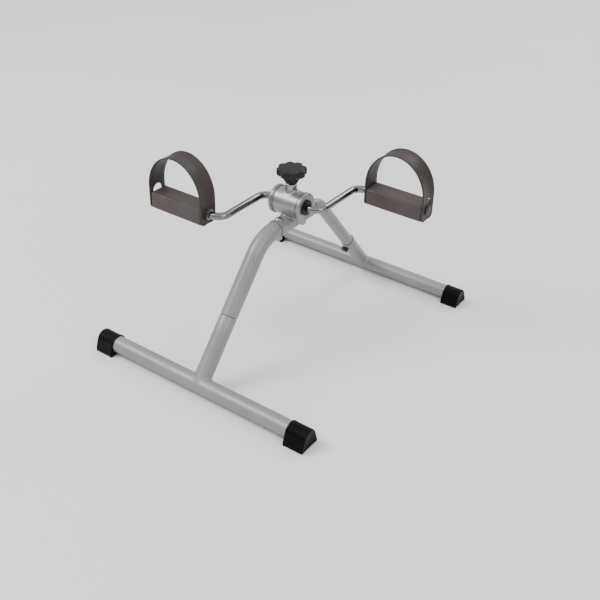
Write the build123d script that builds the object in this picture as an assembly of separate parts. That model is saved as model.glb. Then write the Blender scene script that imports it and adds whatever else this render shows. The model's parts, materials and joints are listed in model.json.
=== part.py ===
from build123d import *
import math
import os

# Pedal exerciser: a knock-down tube frame that stands on the floor, a friction hub on top of it,
# a bent-rod crank through the hub, and a pedal with a D-shaped foot strap on each end of the crank.
#
# Millimetres. Origin on the floor, straight below the middle of the crank axis.
# +X runs along the crank axis towards the right pedal, +Y towards the rear foot bar, +Z up.

# ---------------------------------------------------------------- driving sizes: frame
OVERALL_WIDTH = 380.0            # over the foot caps, along X
OVERALL_DEPTH = 464.0            # over the foot caps, along Y
CRANK_AXIS_HEIGHT = 215.0
HUB_DROP = 28.0                  # top tube's axis below the crank axis
FRONT_CORNER_OFFSET = 69.4       # middle plane to where the front leg's line meets the top tube's
REAR_CORNER_OFFSET = 69.3

FRONT_TUBE_DIAMETER = 25.4       # front foot bar, front socket and front leg
REAR_TUBE_DIAMETER = 22.2        # rear foot bar and rear socket
TUBE_WALL = 1.5
TOP_TUBE_WALL = 2.0
TOP_TUBE_FRONT_MARGIN = 8.0      # top tube beyond its front bolt
TOP_TUBE_REAR_MARGIN = 19.0

FRONT_SOCKET_LENGTH = 104.0      # from the foot bar's axis, along the leg
REAR_SOCKET_LENGTH = 86.0
PLUG_LENGTH = 36.0               # how far a leg reaches into its socket
LEG_END_GAP = 14.0               # from the hub's middle plane to a leg's inner end
PLUG_CLEARANCE = 0.1             # radial, a leg or liner in its socket
SEAM_GAP = 0.9                   # open joint between a socket's mouth and the leg's shoulder
SHOULDER_LENGTH = 3.0            # where the tube narrows to its neck
FRONT_BEND_LEAD = 0.2            # straight tube between the front bend and its shoulder
REAR_BEND_LEAD = 1.7             # straight tube between the rear bend and the liner's lip
WELD_SIZE = 3.0                  # weld around a socket's foot
WELD_RISE = 2.7                  # weld over the foot bar
COPE_GAP = 0.05                  # between a socket's shaped end and its foot bar, inside the weld
HUB_WELD_SIZE = 3.6

# ---------------------------------------------------------------- driving sizes: foot caps
FRONT_CAP_WIDTH = 36.8
REAR_CAP_WIDTH = 34.4
FRONT_CAP_LENGTH = 31.8
REAR_CAP_LENGTH = 28.2
CAP_WALL = 1.7                   # rubber over the tube
CAP_SOLE = 2.5                   # rubber under the tube
CAP_END = 3.0
CAP_FOOT_HEIGHT = 4.0            # upright edge of the wide sole
CAP_EDGE_ROUND = 1.2

# ---------------------------------------------------------------- driving sizes: crank
CRANK_ROD_DIAMETER = 11.0
CRANK_THROW = 100.0
CRANK_BEND_RADIUS = 16.0
CRANK_ARM_GAP = 4.4              # from a bush's flange to the start of the crank's bend
ROD_END_CHAMFER = 1.0
ROD_END_PROUD = 2.0              # rod beyond its nut
DRUM_WALL = 3.5
DRUM_GAP = 0.2                   # between the drum and each thrust washer
THRUST_WASHER_RIM = 3.0          # each washer's rim around the rod
THRUST_WASHER_THICKNESS = 1.5
END_FLOAT = 0.3                  # sideways play of crank and pedals
RUNNING_CLEARANCE = 0.08         # radial, shaft in bush and screw in thread

# ---------------------------------------------------------------- driving sizes: hub
HUB_LENGTH = 54.0                # over both end caps
BARREL_WALL = 2.5
SHOE_HEADROOM = 0.265            # between the raised shoe's corners and the barrel
HUB_CAP_WALL = 1.5
HUB_CAP_LIP = 7.0
HUB_CAP_END = 2.0
HUB_CAP_ROUND = 1.2
BUSH_WALL = 4.5
BUSH_FLANGE_RIM = 1.4
BUSH_FLANGE_THICKNESS = 1.6
BUSH_BODY_LENGTH = 12.0

# ---------------------------------------------------------------- driving sizes: resistance control
BOSS_WALL = 4.5
BOSS_HEIGHT = 12.0               # above the barrel
BOSS_CHAMFER = 0.8
SCREW_DIAMETER = 8.0
SCREW_PITCH = 1.25
SCREW_TIP_STEP = 1.0             # radial step from the thread to the plain tip
SCREW_TIP_LENGTH = 2.0
SHOE_WIDTH = 14.0
SHOE_CROWN = 4.2                 # nylon over the drum
SHOE_END_MARGIN = 2.0            # drum beyond each end of the shoe
SHOE_SKIRT_SHARE = 0.72          # height of the shoe's lower edge as a share of its hollow's radius
SHOE_BITE_GAP = 0.05             # left over when the knob is screwed down one turn
KNOB_DIAMETER = 44.0
KNOB_LOBES = 8
KNOB_FLUTE_RADIUS = 5.5
KNOB_FLUTE_DEPTH = 2.4
KNOB_RIM_HEIGHT = 9.5
KNOB_DOME_HEIGHT = 1.5
KNOB_DOME_INSET = 2.5            # flat chamfer around the dome
KNOB_NECK_WALL = 4.5
KNOB_NECK_HEIGHT = 12.0
KNOB_NECK_TAPER = 1.5
KNOB_WAIST_SHARE = 0.55          # straight part of the neck as a share of its height
KNOB_EASE = 1.5                  # chamfers at the knob's edges
KNOB_GAP = 2.0                   # between the knob and the boss, at rest
INSERT_WALL = 2.5
INSERT_LENGTH = 13.0

# ---------------------------------------------------------------- driving sizes: pedals
PEDAL_STAND_OFF = 3.4            # from the end of the crank's bend to the pedal's inner washer
STRAP_WIDTH = 32.0
STRAP_SPAN = 98.0                # outside to outside, along X
STRAP_THICKNESS = 2.2
STRAP_RISE = 76.0                # top of the strap above the spindle axis
STRAP_ARCH_HEIGHT = 56.0         # height of the half-ellipse at the top
STRAP_OVERHANG = 1.5             # strap ends below the pedal
STRAP_END_ROUND = 7.0
PEDAL_DEPTH = 31.0
PEDAL_SKIRT = 3.0                # pedal's lower edge below its spindle tube
PEDAL_WALL = 3.0
PEDAL_ROUND = 2.5
PEDAL_CELLS = 4                  # hollows between ribs, open underneath
PEDAL_BUSH_WALL = 2.0
PEDAL_BUSH_LENGTH = 16.0
PEDAL_TUBE_WALL = 2.0
SPINDLE_BOSS_WALL = 1.5
SPINDLE_BOSS_PROUD = 1.6         # beyond the strap's outer face
SPINDLE_SEAT_MARGIN = 1.0        # radial room around the outer washer
SPINDLE_WASHER_RIM = 2.5
SPINDLE_WASHER_THICKNESS = 1.2
SPINDLE_NUT_WALL = 1.5
SPINDLE_NUT_THICKNESS = 3.0
SPINDLE_NUT_CHAMFER = 1.0
PEG_PLUG_LENGTH = 4.2
PEG_ROD_GAP = 1.3                # between the rod's end and the peg
PEG_SHANK_DIAMETER = 8.0
PEG_HEAD_DIAMETER = 15.0
PEG_HEAD_HEIGHT = 3.0
PEG_CLEARANCE = 0.3
KEYHOLE_MARGIN = 1.5             # radial room for the peg's head
KEYHOLE_RISE = 10.0              # round end of the keyhole above the peg

# ---------------------------------------------------------------- driving sizes: fasteners
BOLT_DIAMETER = 6.0
BOLT_HEAD_DIAMETER = 11.0
BOLT_HEAD_HEIGHT = 3.6
BOLT_HEAD_GAP = 0.9              # between a bolt's head and the hub's weld
BOLT_SLOT_WIDTH = 1.4
BOLT_SLOT_DEPTH = 1.2
BOLT_HOLE_CLEARANCE = 0.2
NUT_ACROSS_FLATS = 10.0
NUT_SIDES = 6
NUT_HEIGHT = 5.0
BOLT_TAIL = 3.0                  # thread beyond the nut
SEAT_DEPTH = 1.0                 # how far a head is shaped down around its round tube
HEAD_BEDDING = 0.02              # between a round-seated head and its tube
HEAD_CROWN = 0.6                 # crown's share of a head's height
LOCK_BOLT_DIAMETER = 5.0
LOCK_BOLT_BACKSET = 8.0         # from the socket's mouth
LOCK_HEAD_DIAMETER = 9.0
LOCK_HEAD_HEIGHT = 2.6
LOCK_NUT_DIAMETER = 11.0
LOCK_NUT_HEIGHT = 5.6
LOCK_NUT_LOBES = 6
LOCK_NUT_FLUTE_DIAMETER = 3.6
LOCK_NUT_FLUTE_OFFSET = 1.1      # flutes' centres outside the nut
LOCK_NUT_COVER = 1.6             # plastic over the bolt's end
SCREW_HEAD_DIAMETER = 8.0
SCREW_HEAD_HEIGHT = 2.4
SET_SCREW_DIAMETER = 4.0
SET_SCREW_REACH = 3.0            # screw inside the leg's wall
RIVET_DIAMETER = 3.2
RIVET_HEAD_DIAMETER = 5.6
RIVET_HEAD_HEIGHT = 1.4
RIVET_REACH = 2.0                # rivet inside the leg's wall
RIVET_SEAT_DEPTH = 0.5
RIVET_BACKSET = 34.0             # below the front leg's corner, along the leg
RIVET_TURN = 50.0                # around the leg from its front face towards +X, degrees

# ---------------------------------------------------------------- sizes that follow from what fits what
rear_leg_diameter = REAR_TUBE_DIAMETER - 2 * TUBE_WALL - 2 * PLUG_CLEARANCE
front_neck_diameter = FRONT_TUBE_DIAMETER - 2 * TUBE_WALL - 2 * PLUG_CLEARANCE
top_tube_bore = front_neck_diameter + 2 * PLUG_CLEARANCE
top_tube_diameter = top_tube_bore + 2 * TOP_TUBE_WALL

drum_diameter = CRANK_ROD_DIAMETER + 2 * DRUM_WALL
drum_length = HUB_LENGTH - 2 * (BUSH_BODY_LENGTH + END_FLOAT + THRUST_WASHER_THICKNESS + DRUM_GAP)
shoe_hollow_radius = drum_diameter / 2 + SCREW_PITCH + SHOE_BITE_GAP
shoe_top = shoe_hollow_radius + SHOE_CROWN
shoe_length = drum_length - 2 * SHOE_END_MARGIN
barrel_bore = 2 * (math.hypot(shoe_top + SCREW_PITCH, SHOE_WIDTH / 2) + SHOE_HEADROOM)
barrel_diameter = barrel_bore + 2 * BARREL_WALL
hub_cap_diameter = barrel_diameter + 2 * HUB_CAP_WALL
bush_body_diameter = CRANK_ROD_DIAMETER + 2 * BUSH_WALL
bush_flange_diameter = bush_body_diameter + 2 * BUSH_FLANGE_RIM
thrust_washer_diameter = CRANK_ROD_DIAMETER + 2 * THRUST_WASHER_RIM
barrel_half = HUB_LENGTH / 2 - HUB_CAP_END
rod_bore_radius = CRANK_ROD_DIAMETER / 2 + RUNNING_CLEARANCE

boss_diameter = SCREW_DIAMETER + 2 * BOSS_WALL
boss_top = barrel_diameter / 2 + BOSS_HEIGHT
screw_bore_radius = SCREW_DIAMETER / 2 + RUNNING_CLEARANCE
screw_tip_diameter = SCREW_DIAMETER - 2 * SCREW_TIP_STEP
insert_diameter = SCREW_DIAMETER + 2 * INSERT_WALL
knob_neck_diameter = insert_diameter + 2 * KNOB_NECK_WALL
knob_bottom = CRANK_AXIS_HEIGHT + boss_top + KNOB_GAP

bolt_offset = barrel_diameter / 2 + HUB_WELD_SIZE + BOLT_HEAD_GAP + BOLT_HEAD_DIAMETER / 2
top_tube_front_reach = bolt_offset + TOP_TUBE_FRONT_MARGIN
top_tube_rear_reach = bolt_offset + TOP_TUBE_REAR_MARGIN

pedal_bush_diameter = CRANK_ROD_DIAMETER + 2 * PEDAL_BUSH_WALL
spindle_boss_diameter = pedal_bush_diameter + 2 * SPINDLE_BOSS_WALL
spindle_nut_diameter = CRANK_ROD_DIAMETER + 2 * SPINDLE_NUT_WALL
spindle_washer_diameter = CRANK_ROD_DIAMETER + 2 * SPINDLE_WASHER_RIM
spindle_seat_diameter = spindle_washer_diameter + 2 * SPINDLE_SEAT_MARGIN
spindle_tail = SPINDLE_WASHER_THICKNESS + SPINDLE_NUT_THICKNESS + ROD_END_PROUD
spindle_seat_depth = END_FLOAT + spindle_tail + PEG_ROD_GAP + PEG_PLUG_LENGTH
pedal_above = spindle_seat_diameter / 2 + PEDAL_TUBE_WALL
pedal_below = pedal_above + PEDAL_SKIRT
strap_drop = pedal_below + STRAP_OVERHANG
keyhole_diameter = PEG_HEAD_DIAMETER + 2 * KEYHOLE_MARGIN

# ---------------------------------------------------------------- places worked out from them
X_AXIS = Vector(1, 0, 0)
Y_AXIS = Vector(0, 1, 0)
Z_AXIS = Vector(0, 0, 1)

top_tube_height = CRANK_AXIS_HEIGHT - HUB_DROP
hub_centre = Vector(0, 0, CRANK_AXIS_HEIGHT)
top_tube_centre = Vector(0, 0, top_tube_height)
front_bar = Vector(0, -(OVERALL_DEPTH - FRONT_CAP_WIDTH) / 2, CAP_SOLE + FRONT_TUBE_DIAMETER / 2)
rear_bar = Vector(0, (OVERALL_DEPTH - REAR_CAP_WIDTH) / 2, CAP_SOLE + REAR_TUBE_DIAMETER / 2)

front_corner = Vector(0, -FRONT_CORNER_OFFSET, top_tube_height)
rear_corner = Vector(0, REAR_CORNER_OFFSET, top_tube_height)
front_up = (front_corner - front_bar).normalized()
rear_up = (rear_corner - rear_bar).normalized()
front_outward = Vector(0, -front_up.Z, front_up.Y)
rear_outward = Vector(0, rear_up.Z, -rear_up.Y)


def bend_radius(level_run, up):
    """Radius of a bend that uses up a level run, next to a leg that climbs along up."""
    return level_run / math.tan(math.acos(abs(up.Y)) / 2)


front_shoulder_run = FRONT_CORNER_OFFSET - top_tube_front_reach - SEAM_GAP
front_bend_radius = bend_radius(front_shoulder_run - SHOULDER_LENGTH - FRONT_BEND_LEAD, front_up)
rear_mouth_run = REAR_CORNER_OFFSET - top_tube_rear_reach - SEAM_GAP
rear_bend_radius = bend_radius(rear_mouth_run - REAR_BEND_LEAD, rear_up)

pedal_half = STRAP_SPAN / 2 - STRAP_THICKNESS
crank_arm_offset = HUB_LENGTH / 2 + BUSH_FLANGE_THICKNESS + CRANK_ARM_GAP + CRANK_BEND_RADIUS
inner_washer = crank_arm_offset + CRANK_BEND_RADIUS + PEDAL_STAND_OFF
spindle_boss_face = inner_washer + SPINDLE_WASHER_THICKNESS + END_FLOAT
pedal_inner = spindle_boss_face + SPINDLE_BOSS_PROUD + STRAP_THICKNESS
pedal_offset = pedal_inner + pedal_half
pedal_outer = pedal_offset + pedal_half
seat_floor = pedal_outer - spindle_seat_depth
pedal_centre = Vector(pedal_offset, CRANK_THROW, CRANK_AXIS_HEIGHT)


# ---------------------------------------------------------------- helpers
def rod(start, end, diameter):
    """A round bar from one point to another."""
    along = Vector(end) - Vector(start)
    return Solid.make_cylinder(diameter / 2, along.length, Plane(origin=start, z_dir=along))


def ring(start, end, outer, inner):
    """A round bar with a round hole through it."""
    along = (Vector(end) - Vector(start)).normalized()
    return rod(start, end, outer) - rod(Vector(start) - along, Vector(end) + along, inner)


def along_path(path, diameter):
    """A round bar that follows a path."""
    return sweep(Plane(origin=path @ 0, z_dir=path % 0) * Circle(diameter / 2), path=path)


def prism(start, end, across_flats, sides):
    """A bar with flat sides, such as a nut, from one point to another."""
    along = Vector(end) - Vector(start)
    face = Plane(origin=start, z_dir=along) * RegularPolygon(across_flats / 2, sides, major_radius=False)
    return extrude(face, amount=along.length, dir=along.normalized())


def domed_head(seat, outward, diameter, height):
    """A domed screw head: a round bar under a spherical crown."""
    radius = diameter / 2
    crown = height * HEAD_CROWN
    ball_radius = (radius ** 2 + crown ** 2) / (2 * crown)
    ball = Plane(origin=seat + outward * (height - ball_radius), z_dir=outward) * Sphere(ball_radius)
    return rod(seat, seat + outward * height, diameter) & ball


def mirrored_by_half_turn(shape):
    """The same piece on the other side: half a turn about the vertical axis."""
    return Rot(0, 0, 180) * shape


def write(name, *solids):
    """One STEP file for one node, with one or more separate solids."""
    shape = solids[0] if len(solids) == 1 else Compound(children=[Compound(s.solids()) for s in solids])
    export_step(shape, os.path.join("parts", name + ".step"))


# ---------------------------------------------------------------- frame
def foot_bar(centre, diameter):
    """A plain tube between the end walls of its two caps."""
    half = X_AXIS * (OVERALL_WIDTH / 2 - CAP_END)
    return ring(centre - half, centre + half, diameter, diameter - 2 * TUBE_WALL)


def foot_cap(centre, side, diameter, width, length):
    """A rubber cap: a wide flat sole that closes in over the top of the tube."""
    height = centre.Z
    radius = diameter / 2 + CAP_WALL
    lean = Vector(width / 2, CAP_FOOT_HEIGHT - height)
    turn = math.atan2(lean.Y, lean.X) + math.acos(radius / lean.length)
    touch = (radius * math.cos(turn), height + radius * math.sin(turn))
    outline = [
        Line((-width / 2, 0), (width / 2, 0)),
        Line((width / 2, 0), (width / 2, CAP_FOOT_HEIGHT)),
        Line((width / 2, CAP_FOOT_HEIGHT), touch),
        ThreePointArc(touch, (0, height + radius), (-touch[0], touch[1])),
        Line((-touch[0], touch[1]), (-width / 2, CAP_FOOT_HEIGHT)),
        Line((-width / 2, CAP_FOOT_HEIGHT), (-width / 2, 0)),
    ]
    inner_face = OVERALL_WIDTH / 2 - length
    plane = Plane(origin=(inner_face, centre.Y, 0), x_dir=(0, 1, 0), z_dir=(1, 0, 0))
    body = extrude(plane * make_face(outline), amount=length)
    outer_edges = body.faces().sort_by(Axis.X)[-1].edges()
    body = fillet(outer_edges, CAP_EDGE_ROUND)
    axis = Vector(0, centre.Y, height)
    body -= rod(axis + X_AXIS * (inner_face - 1), axis + X_AXIS * (OVERALL_WIDTH / 2 - CAP_END), diameter)
    return body if side > 0 else mirror(body, about=Plane.YZ)


def leg_socket(bar, up, diameter, length):
    """A stub of tube, shaped to its foot bar and welded all round."""
    reach = bar + up * length
    across = X_AXIS * diameter
    stub = rod(bar, reach, diameter)
    stub -= rod(bar - across, bar + across, diameter + 2 * COPE_GAP)
    bead = rod(bar, bar + up * diameter, diameter + 2 * WELD_SIZE)
    bead &= rod(bar - across, bar + across, diameter + 2 * WELD_RISE)
    bead -= rod(bar - across, bar + across, diameter)
    return stub + bead - rod(bar, reach + up, diameter - 2 * TUBE_WALL)


def bent_path(corner, down, down_length, flat_length, flat, radius):
    """Down a leg's line on one side of its corner, level on the other."""
    return FilletPolyline(corner - down * down_length, corner, corner + flat * flat_length, radius=radius)


def front_leg():
    """A bent tube with a narrowed neck at both ends, which plug into the sockets."""
    shoulder_down = (front_corner - front_bar).length - FRONT_SOCKET_LENGTH - SEAM_GAP
    neck_down = shoulder_down + SEAM_GAP + PLUG_LENGTH
    neck_flat = FRONT_CORNER_OFFSET - LEG_END_GAP

    def run(down, flat, diameter):
        path = bent_path(front_corner, front_up, down, flat, Y_AXIS, front_bend_radius)
        return along_path(path, diameter)

    body = run(shoulder_down, front_shoulder_run, FRONT_TUBE_DIAMETER)
    lower_shoulder = front_corner - front_up * (shoulder_down - 1)
    body += rod(lower_shoulder, front_corner - front_up * neck_down, front_neck_diameter)
    upper_shoulder = front_corner + Y_AXIS * (front_shoulder_run - 1)
    body += rod(upper_shoulder, front_corner + Y_AXIS * neck_flat, front_neck_diameter)
    body -= run(neck_down + 1, neck_flat + 1, front_neck_diameter - 2 * TUBE_WALL)
    wide_down = shoulder_down - SHOULDER_LENGTH
    wide_flat = front_shoulder_run - SHOULDER_LENGTH
    body -= run(wide_down, wide_flat, FRONT_TUBE_DIAMETER - 2 * TUBE_WALL)
    body -= bolt_hole(-bolt_offset)
    body -= set_screw_shank(BOLT_HOLE_CLEARANCE)
    return body - rivet_shank()


def rear_leg():
    """A thinner bent tube of one diameter throughout."""
    down = (rear_corner - rear_bar).length - REAR_SOCKET_LENGTH + PLUG_LENGTH
    flat = REAR_CORNER_OFFSET - LEG_END_GAP
    path = bent_path(rear_corner, rear_up, down, flat, -Y_AXIS, rear_bend_radius)
    body = along_path(path, rear_leg_diameter)
    longer = bent_path(rear_corner, rear_up, down + 1, flat + 1, -Y_AXIS, rear_bend_radius)
    body -= along_path(longer, rear_leg_diameter - 2 * TUBE_WALL)
    return body - bolt_hole(bolt_offset) - lock_hole()


def top_tube():
    """The short tube under the hub that both legs plug into, shaped and welded to the barrel."""
    front = top_tube_centre - Y_AXIS * top_tube_front_reach
    rear = top_tube_centre + Y_AXIS * top_tube_rear_reach
    tube = rod(front, rear, top_tube_diameter)
    half = Y_AXIS * (barrel_diameter / 2 + HUB_WELD_SIZE)
    neck = rod(top_tube_centre - half, top_tube_centre + half, top_tube_diameter + 2 * HUB_WELD_SIZE)
    side = X_AXIS * HUB_LENGTH
    neck &= rod(hub_centre - side, hub_centre + side, barrel_diameter + 2 * HUB_WELD_SIZE)
    tube += neck
    tube -= rod(hub_centre - side, hub_centre + side, barrel_diameter)
    tube -= rod(front - Y_AXIS, rear + Y_AXIS, top_tube_bore)
    return tube - bolt_hole(-bolt_offset) - bolt_hole(bolt_offset)


def rear_leg_liner():
    """A plastic sleeve with a lip, which takes up the difference between rear leg and top tube."""
    mouth = top_tube_centre + Y_AXIS * top_tube_rear_reach
    inner_end = top_tube_centre + Y_AXIS * LEG_END_GAP
    bore = rear_leg_diameter
    sleeve = ring(inner_end, mouth, top_tube_bore - 2 * PLUG_CLEARANCE, bore)
    sleeve += ring(mouth, mouth + Y_AXIS * SEAM_GAP, top_tube_diameter, bore)
    return sleeve - bolt_hole(bolt_offset)


# ---------------------------------------------------------------- fasteners in the frame
def bolt_hole(offset):
    """The hole for an upright bolt through the top tube and the leg in it."""
    reach = Z_AXIS * top_tube_diameter
    centre = Vector(0, offset, top_tube_height)
    return rod(centre - reach, centre + reach, BOLT_DIAMETER + 2 * BOLT_HOLE_CLEARANCE)


def top_tube_bolt(offset):
    """A domed bolt whose head is bedded down on the round tube."""
    seat = Vector(0, offset, top_tube_height + top_tube_diameter / 2 - SEAT_DEPTH)
    head_height = BOLT_HEAD_HEIGHT + SEAT_DEPTH
    head = domed_head(seat, Z_AXIS, BOLT_HEAD_DIAMETER, head_height)
    tube = top_tube_centre + Y_AXIS * offset
    head -= rod(tube - Y_AXIS * BOLT_HEAD_DIAMETER, tube + Y_AXIS * BOLT_HEAD_DIAMETER, top_tube_diameter)
    slot = Box(BOLT_HEAD_DIAMETER, BOLT_SLOT_WIDTH, 2 * BOLT_SLOT_DEPTH)
    head -= Pos(0, offset, seat.Z + head_height) * slot
    tail = tube - Z_AXIS * (top_tube_diameter / 2 + NUT_HEIGHT + BOLT_TAIL)
    return head + rod(seat + Z_AXIS * 2 * SEAT_DEPTH, tail, BOLT_DIAMETER)


def top_tube_nut(offset):
    """A hexagon nut under the top tube."""
    top = Vector(0, offset, top_tube_height - top_tube_diameter / 2)
    nut = prism(top, top - Z_AXIS * NUT_HEIGHT, NUT_ACROSS_FLATS, NUT_SIDES)
    return nut - rod(top + Z_AXIS, top - Z_AXIS * (NUT_HEIGHT + 1), BOLT_DIAMETER)


def set_screw_place():
    """Point on the front leg's axis level with its locking screw."""
    return front_bar + front_up * (FRONT_SOCKET_LENGTH - LOCK_BOLT_BACKSET)


def set_screw_shank(clearance=0.0):
    """Shank of the screw in the back of the front socket, or the hole for it."""
    place = set_screw_place()
    inner = place - front_outward * (front_neck_diameter / 2 - TUBE_WALL - SET_SCREW_REACH)
    outer = place - front_outward * (FRONT_TUBE_DIAMETER / 2 + SCREW_HEAD_HEIGHT / 2)
    return rod(inner, outer, SET_SCREW_DIAMETER + 2 * clearance)


def front_leg_screw():
    """A domed screw in the back of the front socket."""
    seat = set_screw_place() - front_outward * (FRONT_TUBE_DIAMETER / 2 - SEAT_DEPTH)
    head = domed_head(seat, -front_outward, SCREW_HEAD_DIAMETER, SCREW_HEAD_HEIGHT + SEAT_DEPTH)
    head -= rod(front_bar, front_bar + front_up * FRONT_SOCKET_LENGTH,
                FRONT_TUBE_DIAMETER + 2 * HEAD_BEDDING)
    return head + set_screw_shank()


def lock_place():
    """Point on the rear leg's axis at its locking bolt."""
    return rear_bar + rear_up * (REAR_SOCKET_LENGTH - LOCK_BOLT_BACKSET)


def lock_hole():
    """The hole for the locking bolt through rear socket and rear leg."""
    reach = rear_outward * REAR_TUBE_DIAMETER
    return rod(lock_place() - reach, lock_place() + reach, LOCK_BOLT_DIAMETER + 2 * BOLT_HOLE_CLEARANCE)


def rear_leg_bolt():
    """A domed bolt across the rear socket, its head on the outer side."""
    seat = lock_place() + rear_outward * (REAR_TUBE_DIAMETER / 2 - SEAT_DEPTH)
    head = domed_head(seat, rear_outward, LOCK_HEAD_DIAMETER, LOCK_HEAD_HEIGHT + SEAT_DEPTH)
    head -= rod(rear_bar, rear_bar + rear_up * REAR_SOCKET_LENGTH, REAR_TUBE_DIAMETER)
    tail = lock_place() - rear_outward * (REAR_TUBE_DIAMETER / 2 + LOCK_NUT_HEIGHT - LOCK_NUT_COVER)
    return head + rod(seat + rear_outward, tail, LOCK_BOLT_DIAMETER)


def rear_leg_hand_nut():
    """A small lobed plastic nut on the inner side of the rear socket."""
    inward = -rear_outward
    seat = lock_place() + inward * (REAR_TUBE_DIAMETER / 2 - 2 * SEAT_DEPTH)
    top = lock_place() + inward * (REAR_TUBE_DIAMETER / 2 + LOCK_NUT_HEIGHT)
    nut = rod(seat, top, LOCK_NUT_DIAMETER)
    for lobe in range(LOCK_NUT_LOBES):
        turn = math.radians(360 / LOCK_NUT_LOBES * lobe)
        side = X_AXIS * math.cos(turn) + rear_up * math.sin(turn)
        away = side * (LOCK_NUT_DIAMETER / 2 + LOCK_NUT_FLUTE_OFFSET)
        nut -= rod(seat + away - inward, top + away + inward, LOCK_NUT_FLUTE_DIAMETER)
    nut -= rod(rear_bar, rear_bar + rear_up * REAR_SOCKET_LENGTH, REAR_TUBE_DIAMETER)
    return nut - rod(lock_place(), top - inward * LOCK_NUT_COVER, LOCK_BOLT_DIAMETER)


def rivet_line():
    """A point on the front leg's axis and the way its rivet faces."""
    place = front_corner - front_up * RIVET_BACKSET
    turn = math.radians(RIVET_TURN)
    return place, front_outward * math.cos(turn) + X_AXIS * math.sin(turn)


def rivet_shank():
    """Shank of the rivet in the front leg's wall."""
    place, outward = rivet_line()
    inner = place + outward * (FRONT_TUBE_DIAMETER / 2 - TUBE_WALL - RIVET_REACH)
    return rod(inner, place + outward * (FRONT_TUBE_DIAMETER + RIVET_HEAD_HEIGHT) / 2, RIVET_DIAMETER)


def front_leg_rivet():
    """A small rivet near the front leg's bend."""
    place, outward = rivet_line()
    seat = place + outward * (FRONT_TUBE_DIAMETER / 2 - RIVET_SEAT_DEPTH)
    head = domed_head(seat, outward, RIVET_HEAD_DIAMETER, RIVET_HEAD_HEIGHT + RIVET_SEAT_DEPTH)
    head -= rod(front_bar, front_corner, FRONT_TUBE_DIAMETER)
    return head + rivet_shank()


# ---------------------------------------------------------------- hub
def hub_barrel():
    """The round housing, with a hole in its top for the pressure screw."""
    half = X_AXIS * barrel_half
    shell = ring(hub_centre - half, hub_centre + half, barrel_diameter, barrel_bore)
    return shell - rod(hub_centre, hub_centre + Z_AXIS * barrel_diameter, 2 * screw_bore_radius)


def hub_cap():
    """A pressed cap on the barrel's right end."""
    face = hub_centre + X_AXIS * HUB_LENGTH / 2
    cup = rod(face - X_AXIS * HUB_CAP_LIP, face, hub_cap_diameter)
    cup = fillet(cup.faces().sort_by(Axis.X)[-1].edges(), HUB_CAP_ROUND)
    cup -= rod(face - X_AXIS * (HUB_CAP_LIP + 1), face - X_AXIS * HUB_CAP_END, barrel_diameter)
    return cup - rod(face - X_AXIS * HUB_CAP_LIP, face + X_AXIS, bush_body_diameter)


def crank_bush():
    """A flanged plastic bush in the right cap."""
    face = hub_centre + X_AXIS * HUB_LENGTH / 2
    bush = rod(face, face + X_AXIS * BUSH_FLANGE_THICKNESS, bush_flange_diameter)
    bush += rod(face - X_AXIS * BUSH_BODY_LENGTH, face, bush_body_diameter)
    return bush - rod(hub_centre, face + X_AXIS * HUB_LENGTH, 2 * rod_bore_radius)


def tension_boss():
    """The threaded boss on top of the barrel."""
    boss = rod(hub_centre, hub_centre + Z_AXIS * boss_top, boss_diameter)
    boss = chamfer(boss.faces().sort_by(Axis.Z)[-1].edges(), BOSS_CHAMFER)
    side = X_AXIS * boss_diameter
    boss -= rod(hub_centre - side, hub_centre + side, barrel_diameter)
    return boss - rod(hub_centre, hub_centre + Z_AXIS * (boss_top + 1), 2 * screw_bore_radius)


# ---------------------------------------------------------------- crank
def crank_shaft():
    """One bent rod: spindle, arm, shaft, arm and spindle, the two arms pointing opposite ways."""
    arm = X_AXIS * crank_arm_offset
    throw = Y_AXIS * CRANK_THROW
    spindle_end = X_AXIS * (seat_floor + END_FLOAT + spindle_tail)
    path = FilletPolyline(
        hub_centre - spindle_end - throw,
        hub_centre - arm - throw,
        hub_centre - arm,
        hub_centre + arm,
        hub_centre + arm + throw,
        hub_centre + spindle_end + throw,
        radius=CRANK_BEND_RADIUS,
    )
    shaft = along_path(path, CRANK_ROD_DIAMETER)
    ends = [shaft.faces().sort_by(Axis.X)[k].edges()[0] for k in (0, -1)]
    return chamfer(ends, ROD_END_CHAMFER)


def friction_drum():
    """The steel sleeve pressed on the shaft, which the shoe bears on."""
    half = X_AXIS * drum_length / 2
    return ring(hub_centre - half, hub_centre + half, drum_diameter, CRANK_ROD_DIAMETER)


def thrust_washer():
    """A washer between the drum's right end and its bush."""
    bush_end = HUB_LENGTH / 2 - BUSH_BODY_LENGTH
    outer = hub_centre + X_AXIS * (bush_end - END_FLOAT)
    return ring(outer - X_AXIS * THRUST_WASHER_THICKNESS, outer, thrust_washer_diameter, CRANK_ROD_DIAMETER)


def on_spindle(x, length, outer):
    """A ring on the right spindle, from x outwards."""
    start = Vector(x, CRANK_THROW, CRANK_AXIS_HEIGHT)
    return ring(start, start + X_AXIS * length, outer, CRANK_ROD_DIAMETER)


def spindle_washers():
    """The washers at the inner and outer end of the right pedal."""
    starts = (inner_washer, seat_floor + END_FLOAT)
    return [on_spindle(x, SPINDLE_WASHER_THICKNESS, spindle_washer_diameter) for x in starts]


def spindle_nut():
    """The push-on nut at the end of the right spindle."""
    start = seat_floor + END_FLOAT + SPINDLE_WASHER_THICKNESS
    nut = on_spindle(start, SPINDLE_NUT_THICKNESS, spindle_nut_diameter)
    return chamfer(nut.faces().sort_by(Axis.X)[-1].edges().sort_by(SortBy.RADIUS)[-1], SPINDLE_NUT_CHAMFER)


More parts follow.
